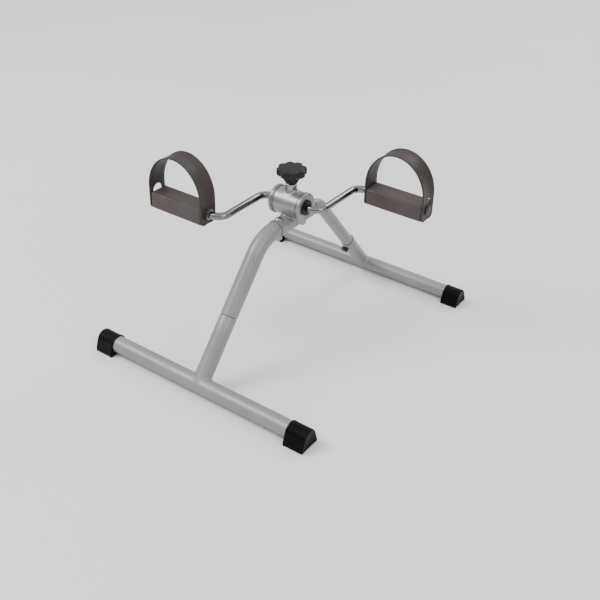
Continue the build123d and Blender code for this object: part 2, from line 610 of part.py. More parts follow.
# ---------------------------------------------------------------- resistance control
def friction_shoe():
    """A nylon block, hollowed to the drum's radius, under the pressure screw."""
    skirt = shoe_hollow_radius * SHOE_SKIRT_SHARE
    block = Pos(0, 0, CRANK_AXIS_HEIGHT + (skirt + shoe_top) / 2)
    block *= Box(shoe_length, SHOE_WIDTH, shoe_top - skirt)
    half = X_AXIS * shoe_length
    block -= rod(hub_centre - half, hub_centre + half, 2 * shoe_hollow_radius)
    top = hub_centre + Z_AXIS * shoe_top
    socket = screw_tip_diameter + 2 * RUNNING_CLEARANCE
    return block - rod(top - Z_AXIS * (SCREW_TIP_LENGTH + RUNNING_CLEARANCE), top + Z_AXIS, socket)


def tension_screw():
    """The pressure screw, with a plain tip that turns in the shoe."""
    bearing = hub_centre + Z_AXIS * (shoe_top + RUNNING_CLEARANCE)
    top = Vector(0, 0, knob_bottom + INSERT_LENGTH)
    screw = rod(bearing, top, SCREW_DIAMETER)
    return screw + rod(bearing - Z_AXIS * SCREW_TIP_LENGTH, bearing, screw_tip_diameter)


def tension_knob():
    """A fluted hand knob: narrow neck, wide rim and a low domed top."""
    neck = knob_neck_diameter / 2
    rim = KNOB_DIAMETER / 2
    under = KNOB_NECK_HEIGHT
    top = under + KNOB_RIM_HEIGHT
    crown = top + KNOB_DOME_HEIGHT
    dome_edge = rim - KNOB_DOME_INSET
    waist = under * KNOB_WAIST_SHARE
    ease = KNOB_EASE
    dome_radius = (dome_edge ** 2 + KNOB_DOME_HEIGHT ** 2) / (2 * KNOB_DOME_HEIGHT)
    half_turn = math.asin(dome_edge / dome_radius) / 2
    sag = dome_radius * (1 - math.cos(half_turn))
    outline = [
        Line((0, 0), (neck - ease, 0)),
        Line((neck - ease, 0), (neck, ease)),
        Line((neck, ease), (neck + KNOB_NECK_TAPER, waist)),
        Line((neck + KNOB_NECK_TAPER, waist), (rim - ease, under)),
        Line((rim - ease, under), (rim, under + ease)),
        Line((rim, under + ease), (rim, top - ease)),
        Line((rim, top - ease), (dome_edge, top)),
        ThreePointArc((dome_edge, top), (dome_radius * math.sin(half_turn), crown - sag), (0, crown)),
        Line((0, crown), (0, 0)),
    ]
    body = revolve(Plane.XZ * make_face(outline), Axis.Z)
    body = Pos(0, 0, knob_bottom) * body
    centre_line = rim + KNOB_FLUTE_RADIUS - KNOB_FLUTE_DEPTH
    for flute in range(KNOB_LOBES):
        turn = math.radians(360 / KNOB_LOBES * (flute + 0.5))
        foot = Vector(centre_line * math.cos(turn), centre_line * math.sin(turn), knob_bottom)
        body -= rod(foot - Z_AXIS, foot + Z_AXIS * (crown + 1), 2 * KNOB_FLUTE_RADIUS)
    base = Vector(0, 0, knob_bottom)
    return body - rod(base - Z_AXIS, base + Z_AXIS * INSERT_LENGTH, insert_diameter)


def knob_insert():
    """The brass insert moulded into the knob."""
    base = Vector(0, 0, knob_bottom)
    return ring(base, base + Z_AXIS * INSERT_LENGTH, insert_diameter, SCREW_DIAMETER)


# ---------------------------------------------------------------- right pedal
def pedal_body():
    """A moulded block, ribbed and open underneath, with the spindle's tube through it."""
    height = pedal_above + pedal_below
    middle = pedal_centre + Z_AXIS * (pedal_above - pedal_below) / 2
    body = Pos(*middle) * Box(2 * pedal_half, PEDAL_DEPTH, height)
    body = fillet(body.edges(), PEDAL_ROUND)
    pitch = (2 * pedal_half - PEDAL_WALL) / PEDAL_CELLS
    for cell in range(PEDAL_CELLS):
        x = pedal_inner + PEDAL_WALL / 2 + pitch * (cell + 0.5)
        hollow = Box(pitch - PEDAL_WALL, PEDAL_DEPTH - 2 * PEDAL_WALL, height)
        body -= Pos(x, pedal_centre.Y, middle.Z - PEDAL_WALL) * hollow
    bush_tube = pedal_bush_diameter + 2 * PEDAL_TUBE_WALL
    seat_tube = spindle_seat_diameter + 2 * PEDAL_TUBE_WALL
    inner = Vector(pedal_inner, CRANK_THROW, CRANK_AXIS_HEIGHT)
    outer = Vector(pedal_outer, CRANK_THROW, CRANK_AXIS_HEIGHT)
    seat = Vector(seat_floor, CRANK_THROW, CRANK_AXIS_HEIGHT)
    body += rod(inner + X_AXIS, outer - X_AXIS, bush_tube)
    body += rod(seat - X_AXIS * PEDAL_WALL, outer - X_AXIS * PEDAL_ROUND, seat_tube)
    body += rod(Vector(spindle_boss_face, inner.Y, inner.Z), inner + X_AXIS, spindle_boss_diameter)
    body -= rod(Vector(spindle_boss_face - 1, inner.Y, inner.Z), outer + X_AXIS, pedal_bush_diameter)
    return body - rod(seat, outer + X_AXIS, spindle_seat_diameter)


def pedal_bushes():
    """The two plain bushes that the pedal turns on."""
    starts = (spindle_boss_face, seat_floor - PEDAL_BUSH_LENGTH)
    bushes = []
    for x in starts:
        start = Vector(x, CRANK_THROW, CRANK_AXIS_HEIGHT)
        bushes.append(ring(start, start + X_AXIS * PEDAL_BUSH_LENGTH, pedal_bush_diameter,
                           2 * rod_bore_radius))
    return bushes


def foot_strap():
    """A wide band over the foot: upright limbs at both ends of the pedal under a half-ellipse."""
    outer = STRAP_SPAN / 2
    inner = outer - STRAP_THICKNESS
    spring = STRAP_RISE - STRAP_ARCH_HEIGHT
    foot = -strap_drop
    outline = [
        Line((outer, foot), (outer, spring)),
        EllipticalCenterArc((0, spring), outer, STRAP_ARCH_HEIGHT, start_angle=0, arc_size=180),
        Line((-outer, spring), (-outer, foot)),
        Line((-outer, foot), (-inner, foot)),
        Line((-inner, foot), (-inner, spring)),
        EllipticalCenterArc((0, spring), inner, STRAP_ARCH_HEIGHT - STRAP_THICKNESS,
                            start_angle=0, arc_size=180),
        Line((inner, spring), (inner, foot)),
        Line((inner, foot), (outer, foot)),
    ]
    band = extrude(Plane.XZ * make_face(outline), amount=STRAP_WIDTH / 2, both=True)
    band = Pos(*pedal_centre) * band
    ends = [e for e in band.edges().filter_by(Axis.X) if e.center().Z < CRANK_AXIS_HEIGHT]
    band = fillet(ends, STRAP_END_ROUND)
    band -= rod(pedal_centre - X_AXIS * (outer + 1), pedal_centre,
                spindle_boss_diameter + 2 * PEG_CLEARANCE)
    reach = X_AXIS * (outer + 1)
    slot = PEG_SHANK_DIAMETER + 2 * PEG_CLEARANCE
    rise = Z_AXIS * KEYHOLE_RISE
    band -= rod(pedal_centre, pedal_centre + reach, slot)
    band -= rod(pedal_centre + rise, pedal_centre + rise + reach, keyhole_diameter)
    neck = Box(STRAP_THICKNESS * 4, slot, KEYHOLE_RISE)
    return band - Pos(*(pedal_centre + X_AXIS * inner + rise / 2)) * neck


def strap_peg():
    """A plug in the outer end of the pedal whose head holds the strap by its keyhole."""
    face = Vector(pedal_outer, CRANK_THROW, CRANK_AXIS_HEIGHT)
    peg = rod(face - X_AXIS * PEG_PLUG_LENGTH, face, spindle_seat_diameter)
    shank_end = face + X_AXIS * (STRAP_THICKNESS + PEG_CLEARANCE)
    peg += rod(face, shank_end, PEG_SHANK_DIAMETER)
    return peg + domed_head(shank_end, X_AXIS, PEG_HEAD_DIAMETER, PEG_HEAD_HEIGHT)


# ---------------------------------------------------------------- build and write every node
def main():
    """Build every piece and write it as its own node."""
    os.makedirs("parts", exist_ok=True)

    write("front_foot_bar", foot_bar(front_bar, FRONT_TUBE_DIAMETER))
    write("rear_foot_bar", foot_bar(rear_bar, REAR_TUBE_DIAMETER))
    for side, word in ((-1, "left"), (1, "right")):
        write(f"front_{word}_foot_cap",
              foot_cap(front_bar, side, FRONT_TUBE_DIAMETER, FRONT_CAP_WIDTH, FRONT_CAP_LENGTH))
        write(f"rear_{word}_foot_cap",
              foot_cap(rear_bar, side, REAR_TUBE_DIAMETER, REAR_CAP_WIDTH, REAR_CAP_LENGTH))

    front_socket = leg_socket(front_bar, front_up, FRONT_TUBE_DIAMETER, FRONT_SOCKET_LENGTH)
    write("front_leg_socket", front_socket - set_screw_shank(BOLT_HOLE_CLEARANCE))
    rear_socket = leg_socket(rear_bar, rear_up, REAR_TUBE_DIAMETER, REAR_SOCKET_LENGTH)
    write("rear_leg_socket", rear_socket - lock_hole())
    write("front_leg", front_leg())
    write("rear_leg", rear_leg())
    write("top_tube", top_tube())
    write("rear_leg_liner", rear_leg_liner())

    write("top_tube_bolts", *[top_tube_bolt(y) for y in (-bolt_offset, bolt_offset)])
    write("top_tube_nuts", *[top_tube_nut(y) for y in (-bolt_offset, bolt_offset)])
    write("front_leg_screw", front_leg_screw())
    write("front_leg_rivet", front_leg_rivet())
    write("rear_leg_bolt", rear_leg_bolt())
    write("rear_leg_hand_nut", rear_leg_hand_nut())

    write("hub_barrel", hub_barrel())
    write("tension_boss", tension_boss())
    write("crank_shaft", crank_shaft())
    write("friction_drum", friction_drum())
    write("thrust_washers", thrust_washer(), mirrored_by_half_turn(thrust_washer()))
    washers = spindle_washers()
    write("spindle_washers", *washers, *[mirrored_by_half_turn(w) for w in washers])
    write("spindle_nuts", spindle_nut(), mirrored_by_half_turn(spindle_nut()))

    write("friction_shoe", friction_shoe())
    write("tension_screw", tension_screw())
    write("tension_knob", tension_knob())
    write("knob_insert", knob_insert())

    sided = {
        "hub_cap": [hub_cap()],
        "crank_bush": [crank_bush()],
        "pedal_body": [pedal_body()],
        "pedal_bushes": pedal_bushes(),
        "foot_strap": [foot_strap()],
        "strap_peg": [strap_peg()],
    }
    for piece, solids in sided.items():
        write(f"right_{piece}", *solids)
        write(f"left_{piece}", *[mirrored_by_half_turn(s) for s in solids])


main()
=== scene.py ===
"""Finished look of a floor-standing pedal exerciser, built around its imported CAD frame.

Metres throughout. +X runs along the crank axis to the right pedal, +Y to the rear foot bar, +Z up.
"""

import json
import logging
import math
from abc import ABC, abstractmethod
from collections.abc import Callable, Sequence
from dataclasses import dataclass
from enum import Enum
from typing import Any

import bmesh
import bpy
from mathutils import Matrix, Vector


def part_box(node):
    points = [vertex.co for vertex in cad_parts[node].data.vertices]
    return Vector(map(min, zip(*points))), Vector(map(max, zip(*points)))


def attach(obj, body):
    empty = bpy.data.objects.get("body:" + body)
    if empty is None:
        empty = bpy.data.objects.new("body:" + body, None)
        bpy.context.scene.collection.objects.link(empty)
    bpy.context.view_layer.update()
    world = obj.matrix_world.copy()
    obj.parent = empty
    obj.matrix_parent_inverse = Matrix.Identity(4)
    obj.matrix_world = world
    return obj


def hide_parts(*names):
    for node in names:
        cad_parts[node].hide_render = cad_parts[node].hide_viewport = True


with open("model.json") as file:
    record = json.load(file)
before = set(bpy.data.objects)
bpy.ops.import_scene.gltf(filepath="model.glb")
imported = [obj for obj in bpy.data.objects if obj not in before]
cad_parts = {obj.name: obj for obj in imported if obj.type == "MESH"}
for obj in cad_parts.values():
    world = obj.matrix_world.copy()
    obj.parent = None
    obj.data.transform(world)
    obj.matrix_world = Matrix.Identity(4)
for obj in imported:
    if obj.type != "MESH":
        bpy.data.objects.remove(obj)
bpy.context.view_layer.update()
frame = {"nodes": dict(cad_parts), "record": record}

LOG = logging.getLogger("pedal_exerciser")
X_AXIS = Vector((1, 0, 0))
Y_AXIS = Vector((0, 1, 0))
Z_AXIS = Vector((0, 0, 1))
Colour = tuple[float, float, float]
Ring = list[Vector]
Pair = tuple[float, float]


class Slot(Enum):
    """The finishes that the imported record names."""

    FRAME = "frame_paint"
    HUB = "hub_silver"
    ZINC = "zinc_steel"
    CHROME = "crank_chrome"
    RUBBER = "cap_rubber"
    BLACK_NYLON = "black_nylon"
    WHITE_NYLON = "white_nylon"
    PEDAL = "pedal_plastic"
    STRAP = "strap_plastic"
    KNOB = "knob_plastic"
    BRASS = "insert_brass"


class Body(Enum):
    """The CAD bodies that new pieces ride on."""

    FRAME = "frame"
    KNOB = "knob"
    LEFT_PEDAL = "left_pedal"
    RIGHT_PEDAL = "right_pedal"


class Side(Enum):
    """The left or right half of the exerciser, with its direction along X."""

    LEFT = -1
    RIGHT = 1

    @property
    def word(self) -> str:
        """The side's name as it stands in piece names."""
        return self.name.lower()


# ---------------------------------------------------------------- shader maths
class Wire:
    """One output of a shader node, which sums and products can be written with."""

    def __init__(self, graph: "Graph", socket: bpy.types.NodeSocket) -> None:
        """Keep the output and the graph that it belongs to.

        Args:
            graph: the node graph.
            socket: the output socket.
        """
        self.graph = graph
        self.socket = socket

    def _maths(self, operation: str, first: Any, second: Any) -> "Wire":
        """Add one Math node.

        Args:
            operation: the Math node's operation.
            first: a wire or number.
            second: a wire or number.

        Returns:
            The node's result.
        """
        return self.graph.node("ShaderNodeMath", {"operation": operation}, {0: first, 1: second})

    def __add__(self, other: Any) -> "Wire":
        """This value plus another."""
        return self._maths("ADD", self, other)

    def __radd__(self, other: Any) -> "Wire":
        """A number plus this value."""
        return self._maths("ADD", other, self)

    def __sub__(self, other: Any) -> "Wire":
        """This value less another."""
        return self._maths("SUBTRACT", self, other)

    def __rsub__(self, other: Any) -> "Wire":
        """A number less this value."""
        return self._maths("SUBTRACT", other, self)

    def __mul__(self, other: Any) -> "Wire":
        """This value times another."""
        return self._maths("MULTIPLY", self, other)

    def __rmul__(self, other: Any) -> "Wire":
        """A number times this value."""
        return self._maths("MULTIPLY", other, self)

    def above(self, level: float, softness: float) -> "Wire":
        """A mask that rises from 0 to 1 where this value passes a level.

        Args:
            level: where the mask starts.
            softness: how much further the value goes until the mask is 1.

        Returns:
            The mask, from 0 to 1.
        """
        settings = {"operation": "MULTIPLY", "use_clamp": True}
        return self.graph.node("ShaderNodeMath", settings, {0: self - level, 1: 1 / softness})


class Graph:
    """The node graph of one new material, or of the sky."""

    def __init__(self, owner: bpy.types.Material | bpy.types.World, shader: str) -> None:
        """Open a graph that holds only its shader and its output.

        Args:
            owner: the new material or world.
            shader: the shader node's name.
        """
        owner.use_nodes = True
        self.tree = owner.node_tree
        self.shader = self.tree.nodes[shader]

    def node(self, kind: str, settings: dict[str, Any] | None = None,
             sockets: dict[Any, Any] | None = None, output: Any = 0) -> Wire:
        """Add a node of any kind.

        Args:
            kind: the node's type.
            settings: its own settings; "stops" are a colour ramp's (place, colour) pairs.
            sockets: values or wires for its inputs, by name or number.
            output: the wanted output, by name or number.

        Returns:
            That output.
        """
        made = self.tree.nodes.new(kind)
        for key, value in (settings or {}).items():
            if key == "stops":
                self._set_stops(made.color_ramp, value)
            else:
                setattr(made, key, value)
        for key, value in (sockets or {}).items():
            self._feed(made.inputs[key], value)
        return Wire(self, made.outputs[output])

    def _set_stops(self, ramp: bpy.types.ColorRamp, stops: Sequence[tuple[float, Colour]]) -> None:
        """Give a colour ramp its stops.

        Args:
            ramp: the ramp, which has two stops when new.
            stops: each stop's place and colour.
        """
        while len(ramp.elements) < len(stops):
            ramp.elements.new(1.0)
        for element, (place, colour) in zip(ramp.elements, stops):
            element.position = place
            element.color = (*colour, 1.0)

    def _feed(self, socket: bpy.types.NodeSocket, value: Any) -> None:
        """Link a wire to an input, or set its value.

        Args:
            socket: the input.
            value: a wire, number, colour or vector.
        """
        if isinstance(value, Wire):
            self.tree.links.new(value.socket, socket)
        elif isinstance(value, (int, float)):
            socket.default_value = value
        else:
            wanted = len(socket.default_value)
            socket.default_value = (*value, 1.0)[:wanted]

    def surface(self, **values: Any) -> None:
        """Set or link the surface shader's inputs.

        Args:
            values: the inputs by name, with _ for each space.
        """
        for name, value in values.items():
            self._feed(self.shader.inputs[name.replace("_", " ")], value)

    def space(self, stretch: Sequence[float] = (1, 1, 1)) -> Wire:
        """Places on the piece, in metres, which can be stretched.

        Args:
            stretch: factors along X, Y and Z.

        Returns:
            The place as a vector.
        """
        place = self.node("ShaderNodeTexCoord", output="Object")
        return self.node("ShaderNodeVectorMath", {"operation": "MULTIPLY"}, {0: place, 1: stretch})

    def noise(self, scale: float, detail: float = 2.0,
              stretch: Sequence[float] = (1, 1, 1)) -> Wire:
        """Soft random clouds from 0 to 1.

        Args:
            scale: clouds for each metre.
            detail: octaves of finer clouds.
            stretch: factors along X, Y and Z.

        Returns:
            The clouds' value.
        """
        sockets = {"Vector": self.space(stretch), "Scale": scale, "Detail": detail}
        return self.node("ShaderNodeTexNoise", None, sockets)

    def cells(self, scale: float, feature: str = "F1") -> Wire:
        """Distance inside random cells.

        Args:
            scale: cells for each metre.
            feature: which distance the cells give.

        Returns:
            The distance.
        """
        sockets = {"Vector": self.space(), "Scale": scale}
        return self.node("ShaderNodeTexVoronoi", {"feature": feature}, sockets, "Distance")

    def edges(self, reach: float, gain: float = 6.0) -> Wire:
        """A mask of the piece's sharp edges.

        Args:
            reach: how far the mask spreads from an edge, in metres.
            gain: how quickly it fills up.

        Returns:
            The mask, from 0 to 1.
        """
        rounded = self.node("ShaderNodeBevel", {"samples": 4}, {"Radius": reach})
        flat = self.node("ShaderNodeNewGeometry", output="Normal")
        settings = {"operation": "DOT_PRODUCT"}
        agree = self.node("ShaderNodeVectorMath", settings, {0: rounded, 1: flat}, "Value")
        return (1 - agree).above(0.01, 1 / gain)

    def crevices(self, reach: float) -> Wire:
        """A mask of painted shade in narrow gaps, where ambient occlusion is low.

        Args:
            reach: how wide a gap still counts, in metres.

        Returns:
            The mask, from 0 to 1.
        """
        settings = {"samples": 6}
        # painted shade: the mask rises where ambient occlusion darkens a gap
        opened = self.node("ShaderNodeAmbientOcclusion", settings, {"Distance": reach}, "AO")
        return (1 - opened).above(0.28, 0.30)

    def mixed(self, share: Wire | float, first: Any, second: Any) -> Wire:
        """A colour between two others.

        Args:
            share: how much of the second colour shows.
            first: a colour or wire.
            second: a colour or wire.

        Returns:
            The mixed colour.
        """
        settings = {"data_type": "RGBA", "clamp_factor": True}
        return self.node("ShaderNodeMix", settings, {0: share, 6: first, 7: second}, 2)

    def bumped(self, height: Wire, depth: float, strength: float = 1.0) -> Wire:
        """A surface normal with relief.

        Args:
            height: the relief's height, from 0 to 1.
            depth: how deep the relief is, in metres.
            strength: how much of it counts.

        Returns:
            The normal.
        """
        sockets = {"Height": height, "Distance": depth, "Strength": strength}
        return self.node("ShaderNodeBump", None, sockets)


def shade(colour: Colour, factor: float) -> Colour:
    """A lighter or darker version of a colour.

    Args:
        colour: linear red, green and blue.
        factor: above 1 is lighter.

    Returns:
        The new colour.
    """
    return tuple(min(1.0, part * factor) for part in colour)


# ---------------------------------------------------------------- finishes
@dataclass(frozen=True)
class Finish(ABC):
    """A surface finish that can make its own material."""

    name: str
    colour: Colour

    @abstractmethod
    def lay_on(self, graph: Graph) -> None:
        """Join the nodes of the finish.

        Args:
            graph: the material's graph.
        """

    def material(self) -> bpy.types.Material:
        """Make the material.

        Returns:
            The finished material.
        """
        made = bpy.data.materials.new(self.name)
        self.lay_on(Graph(made, "Principled BSDF"))
        return made


@dataclass(frozen=True)
class SprayedPaint(Finish):
    """Silver enamel on steel, with fine flake, faint orange peel and rubbed edges."""

    roughness: float = 0.46
    metallic: float = 0.30
    flake: float = 0.10
    wear: float = 0.5
    coat: float = 0.15
    # colour of the painted shade in crevices
    grime: Colour = (0.018, 0.017, 0.016)
    bare_steel: Colour = (0.30, 0.29, 0.28)

    def lay_on(self, graph: Graph) -> None:
        """Join the nodes of the paint.

        Args:
            graph: the material's graph.
        """
        clouds = graph.noise(16, 4)
        flakes = graph.noise(2600, 1)
        streaks = graph.noise(60, 3, (1, 0.16, 1))
        rubbed = graph.edges(0.0011) * graph.noise(180, 3).above(0.40, 0.22) * self.wear
        tone = (clouds - 0.5) * 0.9 + (flakes - 0.5) * self.flake + (streaks - 0.5) * 0.3 + 0.5
        base = graph.mixed(tone, shade(self.colour, 0.80), shade(self.colour, 1.20))
        handled = graph.noise(48, 5).above(0.56, 0.2)
        base = graph.mixed(handled * 0.10, base, shade(self.colour, 0.7))
        # painted shade in seams and corners, from ambient occlusion
        base = graph.mixed(graph.crevices(0.0016) * 0.9, base, self.grime)
        roughness = self.roughness + (clouds - 0.5) * 0.16 + handled * 0.08 - rubbed * 0.12
        relief = graph.noise(520, 2) * 0.7 + graph.noise(95, 2) * 0.3
        graph.surface(
            Base_Color=graph.mixed(rubbed, base, self.bare_steel),
            Metallic=self.metallic + rubbed * 0.5,
            Roughness=roughness,
            Normal=graph.bumped(relief, 0.00006, 0.5),
            Coat_Weight=self.coat - handled * self.coat * 0.4,
            Coat_Roughness=0.22,
        )


@dataclass(frozen=True)
class ZincPlate(Finish):
    """Bright zinc on small steel fasteners, with crystal tones and tool marks."""

    # colour of the painted shade in crevices
    grime: Colour = (0.02, 0.02, 0.02)
    dull_zinc: Colour = (0.26, 0.25, 0.21)

    def lay_on(self, graph: Graph) -> None:
        """Join the nodes of the plating.

        Args:
            graph: the material's graph.
        """
        crystals = graph.cells(900)
        brushed = graph.noise(700, 2, (1, 1, 0.1))
        tarnish = graph.noise(120, 4).above(0.52, 0.2)
        tone = graph.mixed(crystals, shade(self.colour, 0.82), shade(self.colour, 1.12))
        # painted shade in crevices, from ambient occlusion
        tone = graph.mixed(graph.crevices(0.0012) * 0.9, tone, self.grime)
        graph.surface(
            Base_Color=graph.mixed(tarnish * 0.35, tone, self.dull_zinc),
            Metallic=1.0,
            Roughness=0.20 + brushed * 0.12 + tarnish * 0.14,
            Normal=graph.bumped(brushed, 0.00003, 0.5),
        )


@dataclass(frozen=True)
class Chrome(Finish):
    """Bright plating on bent rod, with faint polishing lines and finger marks."""

    pitted: Colour = (0.20, 0.19, 0.18)

    def lay_on(self, graph: Graph) -> None:
        """Join the nodes of the plating.

        Args:
            graph: the material's graph.
        """
        lines = graph.noise(1400, 2, (0.05, 0.05, 1))
        marks = graph.noise(70, 4).above(0.5, 0.25)
        specks = graph.cells(420).above(0.93, 0.05)
        tone = graph.mixed(marks * 0.4, self.colour, shade(self.colour, 0.84))
        graph.surface(
            Base_Color=graph.mixed(specks * 0.4, tone, self.pitted),
            Metallic=1.0,
            Roughness=0.06 + marks * 0.10 + lines * 0.04,
            Normal=graph.bumped(graph.noise(140, 2) * 0.6 + lines * 0.1, 0.00004, 0.35),
        )


@dataclass(frozen=True)
class CapRubber(Finish):
    """Dense black rubber with a fine pebble, pale scuffs on its edges and a little dust."""

    def lay_on(self, graph: Graph) -> None:
        """Join the nodes of the rubber.

        Args:
            graph: the material's graph.
        """
        pebbles = graph.cells(1500, "SMOOTH_F1")
        dust = graph.noise(85, 5).above(0.54, 0.28)
        scuffs = graph.edges(0.0016) * graph.noise(260, 4).above(0.46, 0.2)
        tone = graph.mixed(dust * 0.25, self.colour, shade(self.colour, 3.4))
        graph.surface(
            Base_Color=graph.mixed(scuffs * 0.5, tone, shade(self.colour, 7.0)),
            Roughness=0.44 + dust * 0.2 + scuffs * 0.12,
            Normal=graph.bumped(pebbles + graph.noise(240, 3) * 0.6, 0.00012, 0.5),
            Specular_IOR_Level=0.09,
        )


@dataclass(frozen=True)
class MouldedPlastic(Finish):
    """Moulded plastic with a spark-eroded grain, flow tones, light painted along its edges, painted
    shade in its crevices and fine scratches.
    """

    roughness: float = 0.5
    grain: float = 1100.0
    grain_depth: float = 0.00010
    # factor of the colour painted along edges: above 1 it is a painted highlight, below 1 it is
    # painted shade
    edge_tone: float = 1.7
    dust: float = 0.2
    flow: float = 1.6
    sheen: float = 0.30

    def lay_on(self, graph: Graph) -> None:
        """Join the nodes of the plastic.

        Args:
            graph: the material's graph.
        """
        flow = (graph.noise(26, 3, (1, 1, 0.5)) - 0.5) * self.flow + 0.5
        grain = graph.noise(self.grain, 2) + graph.cells(self.grain * 0.6) * 0.5
        scratches = graph.noise(170, 4, (1, 0.06, 0.3)).above(0.62, 0.08)
        edges = graph.edges(0.0009)
        film = graph.noise(52, 5).above(0.48, 0.3) * self.dust
        tone = graph.mixed(flow, shade(self.colour, 0.72), shade(self.colour, 1.30))
        tone = graph.mixed(film, tone, shade(self.colour, 2.0))
        tone = graph.mixed(scratches * 0.22, tone, shade(self.colour, 2.3))
        # painted shade in crevices, where ambient occlusion is low
        tone = graph.mixed(graph.crevices(0.0015) * 0.7, tone, shade(self.colour, 0.25))
        graph.surface(
            # edges painted lighter as a highlight, or darker as shade when the edge factor is below
            # 1
            Base_Color=graph.mixed(edges * 0.55, tone, shade(self.colour, self.edge_tone)),
            Roughness=self.roughness + (flow - 0.5) * 0.10 + film * 0.25 - edges * 0.08,
            Normal=graph.bumped(grain, self.grain_depth, 0.6),
            Specular_IOR_Level=self.sheen,
        )


@dataclass(frozen=True)
class TurnedBrass(Finish):
    """Turned brass with fine rings and a warm tarnish."""

    def lay_on(self, graph: Graph) -> None:
        """Join the nodes of the brass.

        Args:
            graph: the material's graph.
        """
        rings = graph.noise(2200, 1, (0.02, 0.02, 1))
        tarnish = graph.noise(260, 4).above(0.45, 0.3)
        graph.surface(
            Base_Color=graph.mixed(tarnish * 0.5, self.colour, shade(self.colour, 0.45)),
            Metallic=1.0,
            Roughness=0.24 + tarnish * 0.2,
            Normal=graph.bumped(rings, 0.00003, 0.6),
        )


@dataclass(frozen=True)
class PaleBoard(Finish):
    """Matt pale board with faint clouds, for the floor."""

    def lay_on(self, graph: Graph) -> None:
        """Join the nodes of the board.

        Args:
            graph: the material's graph.
        """
        light, dark = shade(self.colour, 1.03), shade(self.colour, 0.97)
        graph.surface(
            Base_Color=graph.mixed(graph.noise(1.6, 3), dark, light),
            Roughness=0.7,
            Specular_IOR_Level=0.2,
        )


FINISHES: dict[Slot, Finish] = {
    Slot.FRAME: SprayedPaint("silver_enamel", (0.245, 0.245, 0.243)),
    Slot.HUB: SprayedPaint(
        "pale_enamel", (0.235, 0.235, 0.233),
        roughness=0.32, metallic=0.50, flake=0.06, wear=0.35, coat=0.3),
    Slot.ZINC: ZincPlate("zinc_plate", (0.30, 0.30, 0.30)),
    Slot.CHROME: Chrome("bright_chrome", (0.22, 0.222, 0.226)),
    Slot.RUBBER: CapRubber("black_rubber", (0.0012, 0.0012, 0.0013)),
    Slot.BLACK_NYLON: MouldedPlastic(
        "dense_black_plastic", (0.004, 0.004, 0.0043),
        roughness=0.42, grain=1300, grain_depth=0.00005, sheen=0.2),
    Slot.WHITE_NYLON: MouldedPlastic(
        "natural_plastic", (0.62, 0.60, 0.54),
        roughness=0.4, grain=1300, grain_depth=0.00004, edge_tone=1.1, dust=0.2, flow=0.6),
    Slot.PEDAL: MouldedPlastic(
        "warm_grey_plastic", (0.057, 0.0440, 0.0410), roughness=0.50, edge_tone=0.5),
    Slot.STRAP: MouldedPlastic(
        "band_plastic", (0.044, 0.0350, 0.0320),
        roughness=0.50, grain=950, edge_tone=0.35, sheen=0.18),
    Slot.KNOB: MouldedPlastic(
        "olive_grey_plastic", (0.0125, 0.0130, 0.0105),
        roughness=0.44, grain=1200, grain_depth=0.00012, edge_tone=0.6, sheen=0.2),
    Slot.BRASS: TurnedBrass("turned_brass", (0.62, 0.44, 0.18)),
}
MATERIALS: dict[Slot, bpy.types.Material] = {
    slot: finish.material() for slot, finish in FINISHES.items()
}


# ---------------------------------------------------------------- mesh work
class Skin:
    """A mesh that grows ring by ring and becomes one named piece."""

    def __init__(self) -> None:
        """Start an empty mesh."""
        self.mesh = bmesh.new()

    def loft(self, rings: Sequence[Ring], joined: bool = False, capped: bool = True) -> "Skin":
        """Stretch a skin over rings that have the same number of points.

        Args:
            rings: the rings, in order.
            joined: whether the last ring meets the first.
            capped: whether both ends are closed.

        Returns:
            This skin.
        """
        rows = [[self.mesh.verts.new(point) for point in ring] for ring in rings]
        spans = list(zip(rows, rows[1:]))
        if joined:
            spans.append((rows[-1], rows[0]))
        for near, far in spans:
            for k, corner in enumerate(near):
                after = (k + 1) % len(near)
                self.mesh.faces.new((corner, near[after], far[after], far[k]))
        if capped and not joined:
            self._close(rows[0])
            self._close(rows[-1])
        return self

    def _close(self, row: list[bmesh.types.BMVert]) -> None:
        """Close an end with a fan around its middle.

        Args:
            row: the end's points.
        """
        middle = self.mesh.verts.new(sum((corner.co for corner in row), Vector()) / len(row))
        for k, corner in enumerate(row):
            self.mesh.faces.new((corner, row[(k + 1) % len(row)], middle))

    def piece(self, name: str, sharp: float = 40.0) -> bpy.types.Object:
        """Turn the skin into an object with smooth shading.

        Args:
            name: the piece's name.
            sharp: edges that turn more than this many degrees stay sharp.

        Returns:
            The new object, in the scene.
        """
        bmesh.ops.recalc_face_normals(self.mesh, faces=self.mesh.faces)
        data = bpy.data.meshes.new(name)
        self.mesh.to_mesh(data)
        self.mesh.free()
        data.polygons.foreach_set("use_smooth", [True] * len(data.polygons))
        data.set_sharp_from_angle(angle=math.radians(sharp))
        made = bpy.data.objects.new(name, data)
        bpy.context.scene.collection.objects.link(made)
        return made


def circle_ring(centre: Vector, first: Vector, second: Vector, count: int,
                radius: Callable[[float], float]) -> Ring:
    """Points around a centre.

    Args:
        centre: the middle.
        first: unit direction of the first point.
        second: unit direction a quarter turn on.
        count: number of points.
        radius: the radius for each turn angle.

    Returns:
        The ring.
    """
    turns = [math.tau * k / count for k in range(count)]
    return [centre + (first * math.cos(t) + second * math.sin(t)) * radius(t) for t in turns]


def turned(profile: Sequence[Pair], origin: Vector, axis: Vector,
           first: Vector, second: Vector, count: int) -> list[Ring]:
    """Rings of a piece that is round about an axis.

    Args:
        profile: (radius, place along the axis) pairs.
        origin: where the axis starts.
        axis: its unit direction.
        first: unit direction of each ring's first point.
        second: unit direction a quarter turn on.
        count: points in each ring.

    Returns:
        One ring for each pair.
    """
    return [circle_ring(origin + axis * along, first, second, count, lambda turn, r=radius: r)
            for radius, along in profile]


